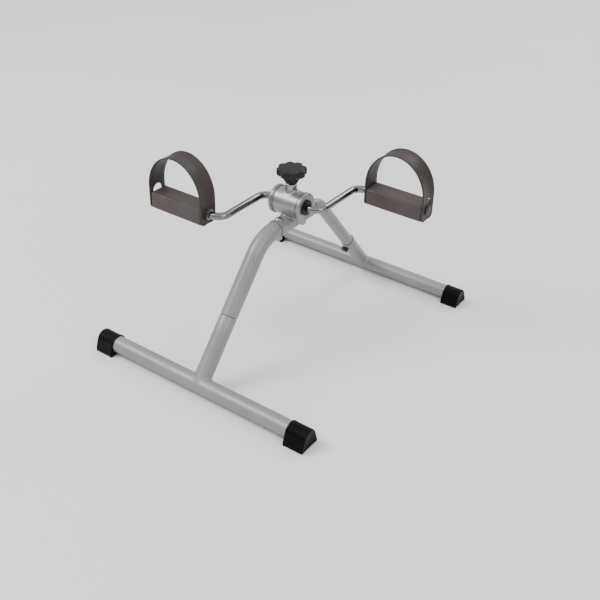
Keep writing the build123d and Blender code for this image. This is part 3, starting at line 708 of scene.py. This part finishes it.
def bent(start: Vector, bend: Vector, end: Vector, steps: int) -> list[Vector]:
    """A smooth curve between two points, drawn towards a third.

    Args:
        start: its first point.
        bend: the point that it is drawn towards.
        end: its last point.
        steps: how many spans it has.

    Returns:
        The curve's points.
    """
    shares = [k / steps for k in range(steps + 1)]
    return [start * (1 - t) ** 2 + bend * 2 * t * (1 - t) + end * t * t for t in shares]


def mirrored(right: list[Pair]) -> list[Pair]:
    """Close a section's right half with its mirror image."""
    return right + [(-across, other) for across, other in reversed(right[1:-1])]


def rounded_profile(points: Sequence[Pair], reach: float, steps: int = 4) -> list[Pair]:
    """Round the inner corners of an open outline.

    Args:
        points: the outline's corners.
        reach: how far each rounding extends along its two sides.
        steps: points for each rounding.

    Returns:
        The outline with its corners eased.
    """
    eased = [points[0]]
    for before, corner, after in zip(points, points[1:], points[2:]):
        middle = Vector(corner)
        back = Vector(before) - middle
        on = Vector(after) - middle
        start = middle + back.normalized() * min(reach, back.length * 0.45)
        end = middle + on.normalized() * min(reach, on.length * 0.45)
        eased += [tuple(point) for point in bent(start, middle, end, steps)]
    return [*eased, points[-1]]


def cut_away(piece: bpy.types.Object, tool: bpy.types.Object) -> None:
    """Cut one piece out of another and remove the cutter.

    Args:
        piece: the piece that keeps its place.
        tool: the cutter.
    """
    cutter = piece.modifiers.new("cut", "BOOLEAN")
    cutter.object = tool
    cutter.operation = "DIFFERENCE"
    cutter.solver = "EXACT"
    bpy.context.view_layer.update()
    depsgraph = bpy.context.evaluated_depsgraph_get()
    shaped = bpy.data.meshes.new_from_object(piece.evaluated_get(depsgraph))
    piece.modifiers.clear()
    piece.data = shaped
    bpy.data.objects.remove(tool)


@dataclass(frozen=True)
class Tube:
    """A straight level round CAD tube."""

    centre: Vector
    radius: float

    @classmethod
    def of(cls, node: str) -> "Tube":
        """Read a tube from its CAD box.

        Args:
            node: its CAD node.

        Returns:
            Its middle and radius.
        """
        low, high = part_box(node)
        return cls((low + high) / 2, (high.z - low.z) / 2)


# ---------------------------------------------------------------- sub-assemblies
class SubAssembly(ABC):
    """A group of pieces that belong together on the bench."""

    @abstractmethod
    def build(self) -> list[bpy.types.Object]:
        """Make the pieces.

        Returns:
            The pieces.
        """

    def seat(self, piece: bpy.types.Object, body: Body, slot: Slot,
             *nodes: str) -> bpy.types.Object:
        """Dress a new piece and put it on its body.

        Args:
            piece: the new piece.
            body: the CAD body that it rides on.
            slot: its finish.
            nodes: the CAD nodes that it stands for.

        Returns:
            The piece.
        """
        piece.data.materials.append(MATERIALS[slot])
        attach(piece, body.value)
        if nodes:
            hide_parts(*nodes)
        return piece


@dataclass
class FootCap(SubAssembly):
    """A rubber cap: a wide ribbed sole, leaning sides and a round crown over the tube's end."""

    node: str
    bar: str
    foot_height: float = 0.004
    edge: float = 0.0018
    lip: float = 0.0034
    lip_proud: float = 0.00045
    groove_width: float = 0.0024
    groove_depth: float = 0.0009
    grooves: int = 5
    grip_depth: float = 0.012
    bore_fit: float = 0.00015
    sole_round: float = 0.0012
    end_inset: float = 0.0062
    end_dish: float = 0.0004
    crown_steps: int = 14
    edge_steps: int = 7

    def outline(self, tube: Tube, half: float) -> list[Pair]:
        """The cap's section as (across, height) pairs, once around from the sole's middle.

        Args:
            tube: the foot bar.
            half: half of the cap's width.

        Returns:
            The closed section.
        """
        _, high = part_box(self.node)
        crown = high.z - tube.centre.z
        lean = Vector((half, self.foot_height - tube.centre.z))
        turn = math.atan2(lean.y, lean.x) + math.acos(crown / lean.length)
        arc = []
        for k in range(self.crown_steps + 1):
            t = turn + (math.pi / 2 - turn) * k / self.crown_steps
            arc.append((crown * math.cos(t), tube.centre.z + crown * math.sin(t)))
        pitch = 2 * half / (self.grooves + 1)
        sole = [(0.0, 0.0)]
        for k in range(self.grooves // 2 + 1):
            middle = pitch * k
            if k:
                sole.append((middle - self.groove_width / 2, 0.0))
                sole.append((middle - self.groove_width / 3, self.groove_depth))
            else:
                sole[0] = (0.0, self.groove_depth)
            sole.append((middle + self.groove_width / 3, self.groove_depth))
            sole.append((middle + self.groove_width / 2, 0.0))
        corners = [sole[-1], (half, 0.0), (half, self.foot_height), arc[0]]
        return mirrored(sole + rounded_profile(corners, self.sole_round)[1:-1] + arc)

    def build(self) -> list[bpy.types.Object]:
        """Make the cap.

        Returns:
            The pieces.
        """
        tube = Tube.of(self.bar)
        low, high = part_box(self.node)
        side = 1 if low.x > 0 else -1
        mouth, end = sorted((low.x, high.x), key=abs)
        half = (high.y - low.y) / 2
        section = self.outline(tube, half)

        def ring(inward: float, drawn: float, from_end: bool = False) -> Ring:
            """One section, drawn in from the cap's outside.

            Args:
                inward: how far it lies from the cap's mouth.
                drawn: how far its points are drawn in.
                from_end: whether it is placed from the closed end instead.

            Returns:
                The section's ring.
            """
            place = end - side * inward if from_end else mouth + side * inward
            points = []
            for across, height in section:
                out = Vector((across, height - tube.centre.z))
                out -= out.normalized() * drawn
                height = max(0.0, tube.centre.z + out.y)
                points.append(Vector((place, tube.centre.y + out.x, height)))
            return points

        def bore(inward: float) -> Ring:
            """A ring on the tube's own surface.

            Args:
                inward: how far it lies from the cap's mouth.

            Returns:
                The ring.
            """
            place = mouth + side * inward
            radius = tube.radius + self.bore_fit
            points = []
            for across, height in section:
                out = Vector((across, height - tube.centre.z)).normalized() * radius
                points.append(Vector((place, tube.centre.y + out.x, tube.centre.z + out.y)))
            return points

        proud = self.lip_proud
        rings = [bore(self.grip_depth), bore(0.0006), ring(0.0, 0.0009), ring(0.0003, 0.0002),
                 ring(0.0009, 0.0), ring(self.lip - 0.0006, 0.0), ring(self.lip, proud * 0.5),
                 ring(self.lip + 0.0006, proud)]
        for k in range(self.edge_steps + 1):
            t = math.pi / 2 * k / self.edge_steps
            drawn = proud + self.edge * (1 - math.cos(t))
            rings.append(ring(self.edge * (1 - math.sin(t)), drawn, True))
        rings.append(ring(0.0, self.end_inset, True))
        rings.append(ring(self.end_dish, self.end_inset + 2 * self.end_dish, True))
        cap = Skin().loft(rings).piece(self.node + "_rubber")
        return [self.seat(cap, Body.FRAME, Slot.RUBBER, self.node)]


@dataclass
class WeldedSocket(SubAssembly):
    """A socket tube shaped to its foot bar, with the ground weld around its foot."""

    node: str
    bar: str
    wall: float = 0.0015
    mouth_depth: float = 0.03
    edge: float = 0.0005
    weld: float = 0.0034
    around: int = 96
    foot_share: float = 0.92

    def direction(self, tube: Tube, high: Vector) -> tuple[float, Vector]:
        """Find the leg's length and direction from the socket's box.

        Args:
            tube: the foot bar.
            high: the corner of the box at the socket's mouth.

        Returns:
            Length along the leg and its unit direction.
        """
        rise = high.z - tube.centre.z
        run = abs(high.y - tube.centre.y)
        angle = math.atan2(rise, run)
        for _ in range(12):
            angle = math.atan2(rise - tube.radius * math.cos(angle),
                               run - tube.radius * math.sin(angle))
        length = (rise - tube.radius * math.cos(angle)) / math.sin(angle)
        towards_hub = -math.copysign(1.0, tube.centre.y)
        return length, Vector((0, towards_hub * math.cos(angle), math.sin(angle)))

    def build(self) -> list[bpy.types.Object]:
        """Make the tube and its weld.

        Returns:
            The pieces.
        """
        tube = Tube.of(self.bar)
        low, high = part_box(self.node)
        if tube.centre.y > 0:
            high = Vector((high.x, low.y, high.z))
        length, up = self.direction(tube, high)
        across = up.cross(X_AXIS)
        turns = [math.tau * k / self.around for k in range(self.around)]
        foot = [tube.radius * abs(math.cos(turn)) * self.foot_share for turn in turns]

        def ring(radius: float, share: float, back: float = 0.0) -> Ring:
            """A ring around the leg's axis, a share of the way from the foot to the mouth."""
            flat = circle_ring(tube.centre, X_AXIS, across, self.around, lambda turn: radius)
            return [point + up * (low_end + (length - low_end) * share - back)
                    for point, low_end in zip(flat, foot)]

        bore = tube.radius - self.wall
        rings = [ring(tube.radius, share) for share in (0.0, 0.25, 0.5, 0.75)]
        rings += [ring(tube.radius, 1.0, self.edge),
                  ring(tube.radius - self.edge * 0.35, 1.0, self.edge * 0.3),
                  ring(tube.radius - self.edge, 1.0), ring(bore + self.edge * 0.4, 1.0),
                  ring(bore, 1.0, self.edge), ring(bore, 1.0, self.mouth_depth)]
        stub = Skin().loft(rings).piece(self.node + "_tube")
        crossing = Crossing(tube.centre, X_AXIS, up, tube.radius, tube.radius)
        weld = crossing.fillet(self.node + "_weld", self.weld)
        return [self.seat(stub, Body.FRAME, Slot.FRAME, self.node),
                self.seat(weld, Body.FRAME, Slot.FRAME)]


@dataclass
class Crossing:
    """A branch tube that stands square on a round main tube."""

    centre: Vector
    main: Vector
    branch: Vector
    main_radius: float
    branch_radius: float
    count: int = 240
    depth: int = 8
    ripple: float = 0.00009
    pitch: float = 0.0019
    lift: float = 0.00012
    sink: float = 0.0006
    fullness: float = 0.16

    def fillet(self, name: str, width: float) -> bpy.types.Object:
        """Make the hollow weld in the corner between both tubes.

        Args:
            name: the piece's name.
            width: how far the weld reaches along each tube.

        Returns:
            The weld.
        """
        side = self.branch.cross(self.main)
        rings = []
        travelled = 0.0
        last = None
        for k in range(self.count):
            turn = math.tau * k / self.count
            spoke = self.main * math.cos(turn) + side * math.sin(turn)
            off_axis = self.branch_radius * math.sin(turn)
            reach = math.sqrt(max(self.main_radius ** 2 - off_axis ** 2, 0.0))
            root = self.centre + self.branch * reach + spoke * self.branch_radius
            travelled += (root - last).length if last else 0.0
            last = root
            wave = self.ripple * math.sin(math.tau * travelled / self.pitch)
            upper = root + self.branch * width + spoke * self.lift
            angle = math.asin(max(-1.0, min(1.0, off_axis / self.main_radius)))
            angle += width * math.sin(turn) / self.main_radius
            along = (self.branch_radius + width) * math.cos(turn)
            outward = side * math.sin(angle) + self.branch * math.cos(angle)
            lower = self.centre + self.main * along + outward * (self.main_radius + self.lift)
            corner = spoke + self.branch
            bend = root + corner * (width * self.fullness) + corner * wave
            sunk = root - spoke * self.sink - self.branch * self.sink
            rings.append([sunk, *bent(lower, bend, upper, self.depth)])
        return Skin().loft(rings, joined=True).piece(name, 60)


@dataclass
class TopTube(SubAssembly):
    """The short tube under the hub, and the flared weld that carries the barrel on it."""

    wall: float = 0.002
    edge: float = 0.0004
    lip: float = 0.0028
    lip_proud: float = 0.0006
    barrel_toe: float = 0.0066
    tube_toe: float = 0.0062
    mouth_depth: float = 0.02
    fullness: float = 0.0012
    sink: float = 0.002
    tube_count: int = 96
    round_count: int = 128
    depth: int = 12
    halvings: int = 40

    def build(self) -> list[bpy.types.Object]:
        """Make the tube and the flare.

        Returns:
            The pieces.
        """
        low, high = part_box("top_tube")
        liner = Tube.of("rear_leg_liner")
        axis = Vector((0, 0, liner.centre.z))
        tube = self.tube(axis, liner.radius, low.y, high.y)
        flare = self.flare(axis, liner.radius, Tube.of("hub_barrel"))
        return [self.seat(tube, Body.FRAME, Slot.FRAME, "top_tube"),
                self.seat(flare, Body.FRAME, Slot.HUB)]

    def tube(self, axis: Vector, radius: float, front: float, rear: float) -> bpy.types.Object:
        """A tube with eased mouths and a rolled front lip.

        Args:
            axis: a point on the tube's axis.
            radius: its outer radius.
            front: where it starts along Y.
            rear: where it ends.

        Returns:
            The tube.
        """
        bore = radius - self.wall
        rolled = radius + self.lip_proud
        profile = [(bore, front + self.mouth_depth), (bore, front), (rolled, front),
                   (rolled, front + self.lip), (radius, front + self.lip + self.lip_proud),
                   (radius, rear), (bore, rear), (bore, rear - self.mouth_depth)]
        eased = rounded_profile(profile, self.edge)
        rings = turned(eased, axis, Y_AXIS, X_AXIS, Z_AXIS, self.tube_count)
        return Skin().loft(rings, capped=False).piece("top_tube_shell")

    def flare(self, axis: Vector, radius: float, barrel: Tube) -> bpy.types.Object:
        """The concave fillet of weld between barrel and tube.

        Args:
            axis: a point on the tube's axis.
            radius: its outer radius.
            barrel: the hub's barrel.

        Returns:
            The flare.
        """
        drop = barrel.centre.z - axis.z

        def on_tube(around: float, along: float) -> Vector:
            """A point on the tube, from arc lengths around it and along it."""
            turn = around / radius
            return axis + Vector((radius * math.sin(turn), along, radius * math.cos(turn)))

        def on_barrel(across: float, around: float) -> Vector:
            """A point on the barrel's underside, from lengths along and around it."""
            turn = around / barrel.radius
            return barrel.centre + Vector((across, barrel.radius * math.sin(turn),
                                           -barrel.radius * math.cos(turn)))

        def crossing(turn: float) -> Vector:
            """Where both surfaces meet, seen from above.

            Args:
                turn: the angle around the joint.

            Returns:
                The level place of the meeting point.
            """
            near, far = 0.0, radius
            for _ in range(self.halvings):
                reach = (near + far) / 2
                x = min(reach * abs(math.cos(turn)), radius)
                y = min(reach * abs(math.sin(turn)), barrel.radius)
                tall = math.sqrt(radius ** 2 - x ** 2) + math.sqrt(barrel.radius ** 2 - y ** 2)
                near, far = (reach, far) if tall > drop else (near, reach)
            return Vector((near * math.cos(turn), near * math.sin(turn), 0))

        rings: list[Ring] = []
        for k in range(self.round_count):
            turn = math.tau * k / self.round_count
            meet = crossing(turn)
            around_tube = radius * math.asin(max(-1.0, min(1.0, meet.x / radius)))
            around_barrel = barrel.radius * math.asin(meet.y / barrel.radius)
            out = Vector((math.cos(turn), math.sin(turn)))
            toe = on_tube(around_tube + self.tube_toe * out.x, meet.y + self.tube_toe * out.y)
            top = on_barrel(meet.x + self.barrel_toe * out.x,
                            around_barrel + self.barrel_toe * out.y)
            root = on_tube(around_tube, meet.y)
            outward = Vector((out.x, out.y, 0))
            bend = root + outward * self.fullness
            sunk = root - outward * self.sink
            rings.append([sunk, *bent(toe, bend, top, self.depth)])
        return Skin().loft(rings, joined=True).piece("hub_saddle_weld", 60)


@dataclass
class BossWeld(SubAssembly):
    """The weld that flares out where the threaded boss stands on the barrel."""

    weld: float = 0.0042

    def build(self) -> list[bpy.types.Object]:
        """Make the weld.

        Returns:
            The pieces.
        """
        low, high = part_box("tension_boss")
        barrel = Tube.of("hub_barrel")
        crossing = Crossing(barrel.centre, X_AXIS, Z_AXIS, barrel.radius, (high.x - low.x) / 2)
        return [self.seat(crossing.fillet("boss_weld", self.weld), Body.FRAME, Slot.HUB)]


@dataclass
class HubCap(SubAssembly):
    """A pressed cap on one end of the barrel: rolled skirt, rounded shoulder and a sunk face."""

    side: Side
    shoulder: float = 0.0022
    roll: float = 0.0007
    groove: float = 0.0010
    groove_depth: float = 0.0009
    face_rim: float = 0.0046
    face_drop: float = 0.0007
    grip_fit: float = 0.0001
    skirt_depth: float = 0.003
    step: float = 0.0006
    shoulder_steps: int = 7
    around: int = 96

    def build(self) -> list[bpy.types.Object]:
        """Make the cap.

        Returns:
            The pieces.
        """
        node = f"{self.side.word}_hub_cap"
        low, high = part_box(node)
        outward = self.side.value
        face = max(low.x * outward, high.x * outward)
        mouth = min(low.x * outward, high.x * outward)
        radius = (high.z - low.z) / 2
        centre = Vector((0, (low.y + high.y) / 2, (low.z + high.z) / 2))
        grip = Tube.of("hub_barrel").radius + self.grip_fit
        flange = Tube.of(f"{self.side.word}_crank_bush").radius
        profile = [(grip, mouth + self.skirt_depth), (grip, mouth),
                   (radius - self.roll * 0.3, mouth), (radius, mouth + self.roll)]
        hem = mouth + self.roll * 2
        profile += [(radius, hem), (radius - self.groove_depth, hem + self.groove * 0.3),
                    (radius - self.groove_depth, hem + self.groove * 0.7),
                    (radius, hem + self.groove),
                    (radius, face - self.shoulder)]
        for k in range(1, self.shoulder_steps + 1):
            t = math.pi / 2 * k / self.shoulder_steps
            profile.append((radius - self.shoulder * (1 - math.cos(t)),
                            face - self.shoulder * (1 - math.sin(t))))
        rim = radius - self.face_rim
        sunk = face - self.face_drop
        profile += [(rim, face), (rim - self.step, face - self.face_drop * 0.4),
                    (rim - 2 * self.step, sunk), (flange - 2 * self.step, sunk),
                    (flange - 0.002, face - 0.004)]
        rings = turned(profile, centre, X_AXIS * outward, Y_AXIS, Z_AXIS, self.around)
        cap = Skin().loft(rings, capped=False).piece(node + "_pressed", 50)
        return [self.seat(cap, Body.FRAME, Slot.HUB, node)]


@dataclass
class HandKnob(SubAssembly):
    """A lobed hand knob with a narrow neck, wide rim and low dome, and its threaded screw."""

    lobes: int = 8
    lobe_steps: int = 24
    flute: float = 0.0034
    neck_flute: float = 0.0015
    neck_radius: float = 0.0108
    neck_height: float = 0.0105
    dome: float = 0.0016
    rim_ease: float = 0.0016
    pitch: float = 0.00125
    thread_depth: float = 0.00055
    tip_length: float = 0.002
    tip_share: float = 0.75
    screw_count: int = 32
    turn_steps: int = 8

    def profile(self, rim: float, height: float) -> list[Pair]:
        """The knob's outline as (radius, height) pairs from its underside to the dome.

        Args:
            rim: the rim's radius.
            height: overall height.

        Returns:
            The eased outline.
        """
        top = height - self.dome
        corners = [(0.0045, 0.0), (self.neck_radius - 0.0008, 0.0), (self.neck_radius, 0.0014),
                   (self.neck_radius + 0.0016, self.neck_height * 0.55),
                   (rim - 0.003, self.neck_height * 0.98), (rim, self.neck_height + 0.0014),
                   (rim, top - 0.0008), (rim - 0.0034, top + 0.0006)]
        dome = []
        for k in range(1, 8):
            share = 1 - k / 8
            rise = (self.dome - 0.0006) * (1 - share ** 2)
            dome.append(((rim - 0.0034) * share, top + 0.0006 + rise))
        return rounded_profile(corners + dome, self.rim_ease, 5)

    def build(self) -> list[bpy.types.Object]:
        """Make the knob and its screw.

        Returns:
            The pieces.
        """
        low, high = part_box("tension_knob")
        rim = max(high.x - low.x, high.y - low.y) / 2
        base = Vector((0, 0, low.z))
        rings = []
        for radius, height in self.profile(rim, high.z - low.z):
            share = (radius - self.neck_radius) / (rim - self.neck_radius)
            share = max(0.0, min(1.0, share))
            depth = self.neck_flute + (self.flute - self.neck_flute) * share
            depth *= min(1.0, radius / self.neck_radius) ** 3

            def lobed(turn: float, radius: float = radius, depth: float = depth) -> float:
                """Radius with a rounded valley between lobes."""
                valley = 0.5 - 0.5 * math.cos(self.lobes * turn)
                return radius - depth * valley ** 1.7

            count = self.lobe_steps * self.lobes
            rings.append(circle_ring(base + Z_AXIS * height, X_AXIS, Y_AXIS, count, lobed))
        knob = Skin().loft(rings).piece("tension_knob_grip", 50)
        return [self.seat(knob, Body.KNOB, Slot.KNOB, "tension_knob"),
                self.seat(self.screw(), Body.KNOB, Slot.ZINC, "tension_screw")]

    def screw(self) -> bpy.types.Object:
        """The threaded pressure screw with its plain tip.

        Returns:
            The screw.
        """
        low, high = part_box("tension_screw")
        radius = (high.x - low.x) / 2
        step = self.pitch / self.turn_steps
        tip = low.z + self.tip_length
        plain = radius * self.tip_share
        profile = [(radius * 0.70, low.z), (plain, low.z + 0.0003), (plain, tip)]
        rings = turned(profile, Vector(), Z_AXIS, X_AXIS, Y_AXIS, self.screw_count)
        for k in range(int((high.z - tip) / step)):
            height = tip + step * (k + 0.5)

            def thread(turn: float, height: float = height) -> float:
                """Radius of the thread at a height and turn."""
                phase = (height / self.pitch - turn / math.tau) % 1.0
                return radius - self.thread_depth * abs(2 * phase - 1)

            rings.append(circle_ring(Z_AXIS * height, X_AXIS, Y_AXIS, self.screw_count, thread))
        return Skin().loft(rings).piece("tension_screw_thread", 60)


@dataclass
class FootStrap(SubAssembly):
    """A moulded band over one pedal: thick rims, round ends, a keyhole, the spindle's hole."""

    side: Side
    thickness: float = 0.0022
    arch: float = 0.056
    end_round: float = 0.007
    rim: float = 0.0026
    rim_proud: float = 0.0007
    keyhole: float = 0.018
    keyhole_rise: float = 0.010
    slot_width: float = 0.0086
    boss_hole: float = 0.0186
    spindle_height: float = 0.0155
    ease: float = 0.00055
    cut_reach: float = 0.008
    side_steps: int = 40
    arch_steps: int = 96
    hole_count: int = 48

    def path(self, span: float, rise: float) -> list[tuple[Vector, Vector]]:
        """The band's outer line and its outward direction, once over the foot.

        Args:
            span: half of the outside width.
            rise: height of the top above the band's lower ends.

        Returns:
            Points (across, up) with their outward directions.
        """
        spring = rise - self.arch
        heights = [spring * k / self.side_steps for k in range(self.side_steps)]
        line = [(Vector((span, 0, height)), X_AXIS) for height in heights]
        for k in range(self.arch_steps + 1):
            t = math.pi * k / self.arch_steps
            point = Vector((span * math.cos(t), 0, spring + self.arch * math.sin(t)))
            out = Vector((math.cos(t) / span, 0, math.sin(t) / self.arch)).normalized()
            line.append((point, out))
        for k in range(1, self.side_steps + 1):
            line.append((Vector((-span, 0, spring * (1 - k / self.side_steps))), -X_AXIS))
        return line

    def section(self, half: float) -> list[Pair]:
        """The band's section as (across its width, inward) pairs.

        Args:
            half: half of the width at this place.

        Returns:
            The closed section, with a thicker rim along both edges.
        """
        deep = self.thickness
        proud = self.rim_proud
        rim = min(self.rim, half * 0.3)
        ease = self.ease
        return mirrored([
            (0.0, proud), (half - rim - 0.0008, proud), (half - rim, proud * 0.25),
            (half - rim * 0.55, 0.0), (half - ease, 0.00008), (half - ease * 0.3, ease * 0.5),
            (half, ease * 1.4), (half, deep - ease * 1.4), (half - ease * 0.3, deep - ease * 0.4),
            (half - ease, deep), (half * 0.5, deep), (0.0, deep)])

    def build(self) -> list[bpy.types.Object]:
        """Make the strap.

        Returns:
            The pieces.
        """
        node = f"{self.side.word}_foot_strap"
        low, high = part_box(node)
        middle = Vector(((low.x + high.x) / 2, (low.y + high.y) / 2, low.z))
        span = (high.x - low.x) / 2
        half = (high.y - low.y) / 2
        line = self.path(span, high.z - low.z)
        lengths = [0.0]
        for (before, _), (point, _) in zip(line, line[1:]):
            lengths.append(lengths[-1] + (point - before).length)
        rings = []
        for (point, out), length in zip(line, lengths):
            from_end = min(length, lengths[-1] - length)
            short = min(max(0.0, self.end_round - from_end), self.end_round * 0.995)
            width = half - (self.end_round - math.sqrt(self.end_round ** 2 - short ** 2))
            rings.append([middle + point - out * inward + Y_AXIS * across
                          for across, inward in self.section(width)])
        strap = Skin().loft(rings).piece(node + "_band", 50)
        spindle = middle + Z_AXIS * self.spindle_height
        outward = X_AXIS * self.side.value
        cut_away(strap, self.keyhole_tool(spindle + outward * span, outward))
        cut_away(strap, self.hole_tool(spindle - outward * span, outward, self.boss_hole / 2))
        strap.data.polygons.foreach_set("use_smooth", [True] * len(strap.data.polygons))
        strap.data.set_sharp_from_angle(angle=math.radians(40))
        body = Body.RIGHT_PEDAL if self.side is Side.RIGHT else Body.LEFT_PEDAL
        return [self.seat(strap, body, Slot.STRAP, node)]

    def hole_tool(self, place: Vector, along: Vector, radius: float) -> bpy.types.Object:
        """A round cutter through the band.

        Args:
            place: where it crosses the band.
            along: unit direction of its axis.
            radius: its radius.

        Returns:
            The cutter.
        """
        profile = [(radius, -self.cut_reach), (radius, self.cut_reach)]
        rings = turned(profile, place, along, Y_AXIS, Z_AXIS, self.hole_count)
        return Skin().loft(rings).piece("cutter")

    def keyhole_tool(self, place: Vector, along: Vector) -> bpy.types.Object:
        """A keyhole cutter: a round hole over a narrow slot with a round foot.

        Args:
            place: the slot's foot on the band.
            along: unit direction through the band.

        Returns:
            The cutter.
        """
        large = self.keyhole / 2
        small = self.slot_width / 2
        meet = math.asin(small / large)
        outline = []
        for k in range(41):
            t = -math.pi / 2 + meet + (math.tau - 2 * meet) * k / 40
            outline.append((large * math.cos(t), self.keyhole_rise + large * math.sin(t)))
        for k in range(17):
            t = math.pi + math.pi * k / 16
            outline.append((small * math.cos(t), small * math.sin(t)))
        rings = [[place + along * reach + Y_AXIS * across + Z_AXIS * up for across, up in outline]
                 for reach in (-self.cut_reach, self.cut_reach)]
        return Skin().loft(rings).piece("cutter")


@dataclass
class CadPieces(SubAssembly):
    """The CAD nodes. Those that no new piece replaces are seen as they are."""

    def build(self) -> list[bpy.types.Object]:
        """Dress every CAD node.

        Returns:
            The pieces.
        """
        parts = frame["record"]["subparts"]
        slots = {part["node"]: Slot(part["material_slot"]) for part in parts}
        dressed = []
        for node, piece in frame["nodes"].items():
            piece.data.materials.clear()
            piece.data.materials.append(MATERIALS[slots[node]])
            dressed.append(piece)
        return dressed


# ---------------------------------------------------------------- studio
@dataclass(frozen=True)
class SoftLight:
    """A soft square light: its name, place, width and strength in watts."""

    name: str
    place: tuple[float, float, float]
    size: float
    power: float


@dataclass
class Studio:
    """A plain pale floor, soft lights and the camera."""

    floor_reach: float = 9.0
    floor_colour: Colour = (0.80, 0.80, 0.795)
    lights: tuple[SoftLight, ...] = (
        SoftLight("key", (-1.5, -1.3, 2.3), 1.3, 60.0),
        SoftLight("fill", (2.2, -0.6, 1.6), 1.2, 18.0),
        SoftLight("back", (0.2, 2.4, 1.9), 1.2, 25.0),
    )
    aim: tuple[float, float, float] = (0.0, 0.0, 0.15)
    sky: float = 1.22
    sky_levels: tuple[Pair, ...] = (
        (0.0, 0.62), (0.10, 0.34), (0.22, 0.24), (0.36, 0.55), (0.55, 1.0))
    sky_blue: float = 1.01
    heading: float = 34.865
    dip: float = 33.601
    roll: float = -1.376
    place: tuple[float, float, float] = (0.6908, -0.9632, 0.8331)
    lens: float = 55.06
    sensor: float = 36.0

    def build(self) -> None:
        """Make floor, lights, sky and camera."""
        self.floor()
        for light in self.lights:
            self.hang(light)
        self.surroundings()
        self.camera()

    def floor(self) -> None:
        """A large pale floor."""
        reach = self.floor_reach
        skin = Skin()
        corners = ((-1, -1), (1, -1), (1, 1), (-1, 1))
        skin.mesh.faces.new([skin.mesh.verts.new((x * reach, y * reach, 0)) for x, y in corners])
        floor = skin.piece("studio_floor")
        floor.data.materials.append(PaleBoard("pale_floor", self.floor_colour).material())

    def hang(self, light: SoftLight) -> None:
        """Hang a light so that it faces the hub.

        Args:
            light: the light.
        """
        data = bpy.data.lights.new(light.name, "AREA")
        data.size = light.size
        data.energy = light.power
        lamp = bpy.data.objects.new(light.name, data)
        lamp.location = light.place
        towards = Vector(self.aim) - Vector(light.place)
        lamp.rotation_euler = towards.to_track_quat("-Z", "Y").to_euler()
        bpy.context.scene.collection.objects.link(lamp)

    def surroundings(self) -> None:
        """A soft sky that is bright above and darker towards the horizon."""
        world = bpy.data.worlds.new("studio")
        bpy.context.scene.world = world
        graph = Graph(world, "Background")
        place = graph.node("ShaderNodeTexCoord", output="Generated")
        height = graph.node("ShaderNodeSeparateXYZ", sockets={0: place}, output="Z")
        stops = [(where, (level, level, level * self.sky_blue)) for where, level in self.sky_levels]
        colour = graph.node("ShaderNodeValToRGB", {"stops": stops}, {0: height})
        graph.surface(Color=colour, Strength=self.sky)

    def camera(self) -> None:
        """The camera, from its heading, dip and roll."""
        heading, dip, roll = (math.radians(a) for a in (self.heading, self.dip, self.roll))
        ahead = Vector((-math.sin(heading) * math.cos(dip), math.cos(heading) * math.cos(dip),
                        -math.sin(dip)))
        level = Vector((math.cos(heading), math.sin(heading), 0))
        down = ahead.cross(level)
        right = level * math.cos(roll) + down * math.sin(roll)
        up = level * math.sin(roll) - down * math.cos(roll)
        data = bpy.data.cameras.new("camera")
        data.lens = self.lens
        data.sensor_width = self.sensor
        camera = bpy.data.objects.new("camera", data)
        turned = Matrix((right, up, -ahead)).transposed().to_4x4()
        camera.matrix_world = Matrix.Translation(self.place) @ turned
        bpy.context.scene.collection.objects.link(camera)
        bpy.context.scene.camera = camera


def write_sizes() -> None:
    """Bring every piece's place up to date."""
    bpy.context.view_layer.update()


def main() -> None:
    """Build the exerciser's pieces and the studio."""
    logging.basicConfig(level=logging.INFO, format="%(name)s: %(message)s")
    assemblies: list[SubAssembly] = [CadPieces()]
    for bar in ("front", "rear"):
        assemblies += [FootCap(f"{bar}_{side.word}_foot_cap", f"{bar}_foot_bar") for side in Side]
        assemblies.append(WeldedSocket(f"{bar}_leg_socket", f"{bar}_foot_bar"))
    assemblies += [TopTube(), BossWeld(), HandKnob()]
    for side in Side:
        assemblies += [HubCap(side), FootStrap(side)]
    for assembly in assemblies:
        for piece in assembly.build():
            faces = len(piece.data.polygons)
            LOG.info("%s: %s with %d faces", type(assembly).__name__, piece.name, faces)
    Studio().build()
    write_sizes()


if __name__ == "__main__":
    main()
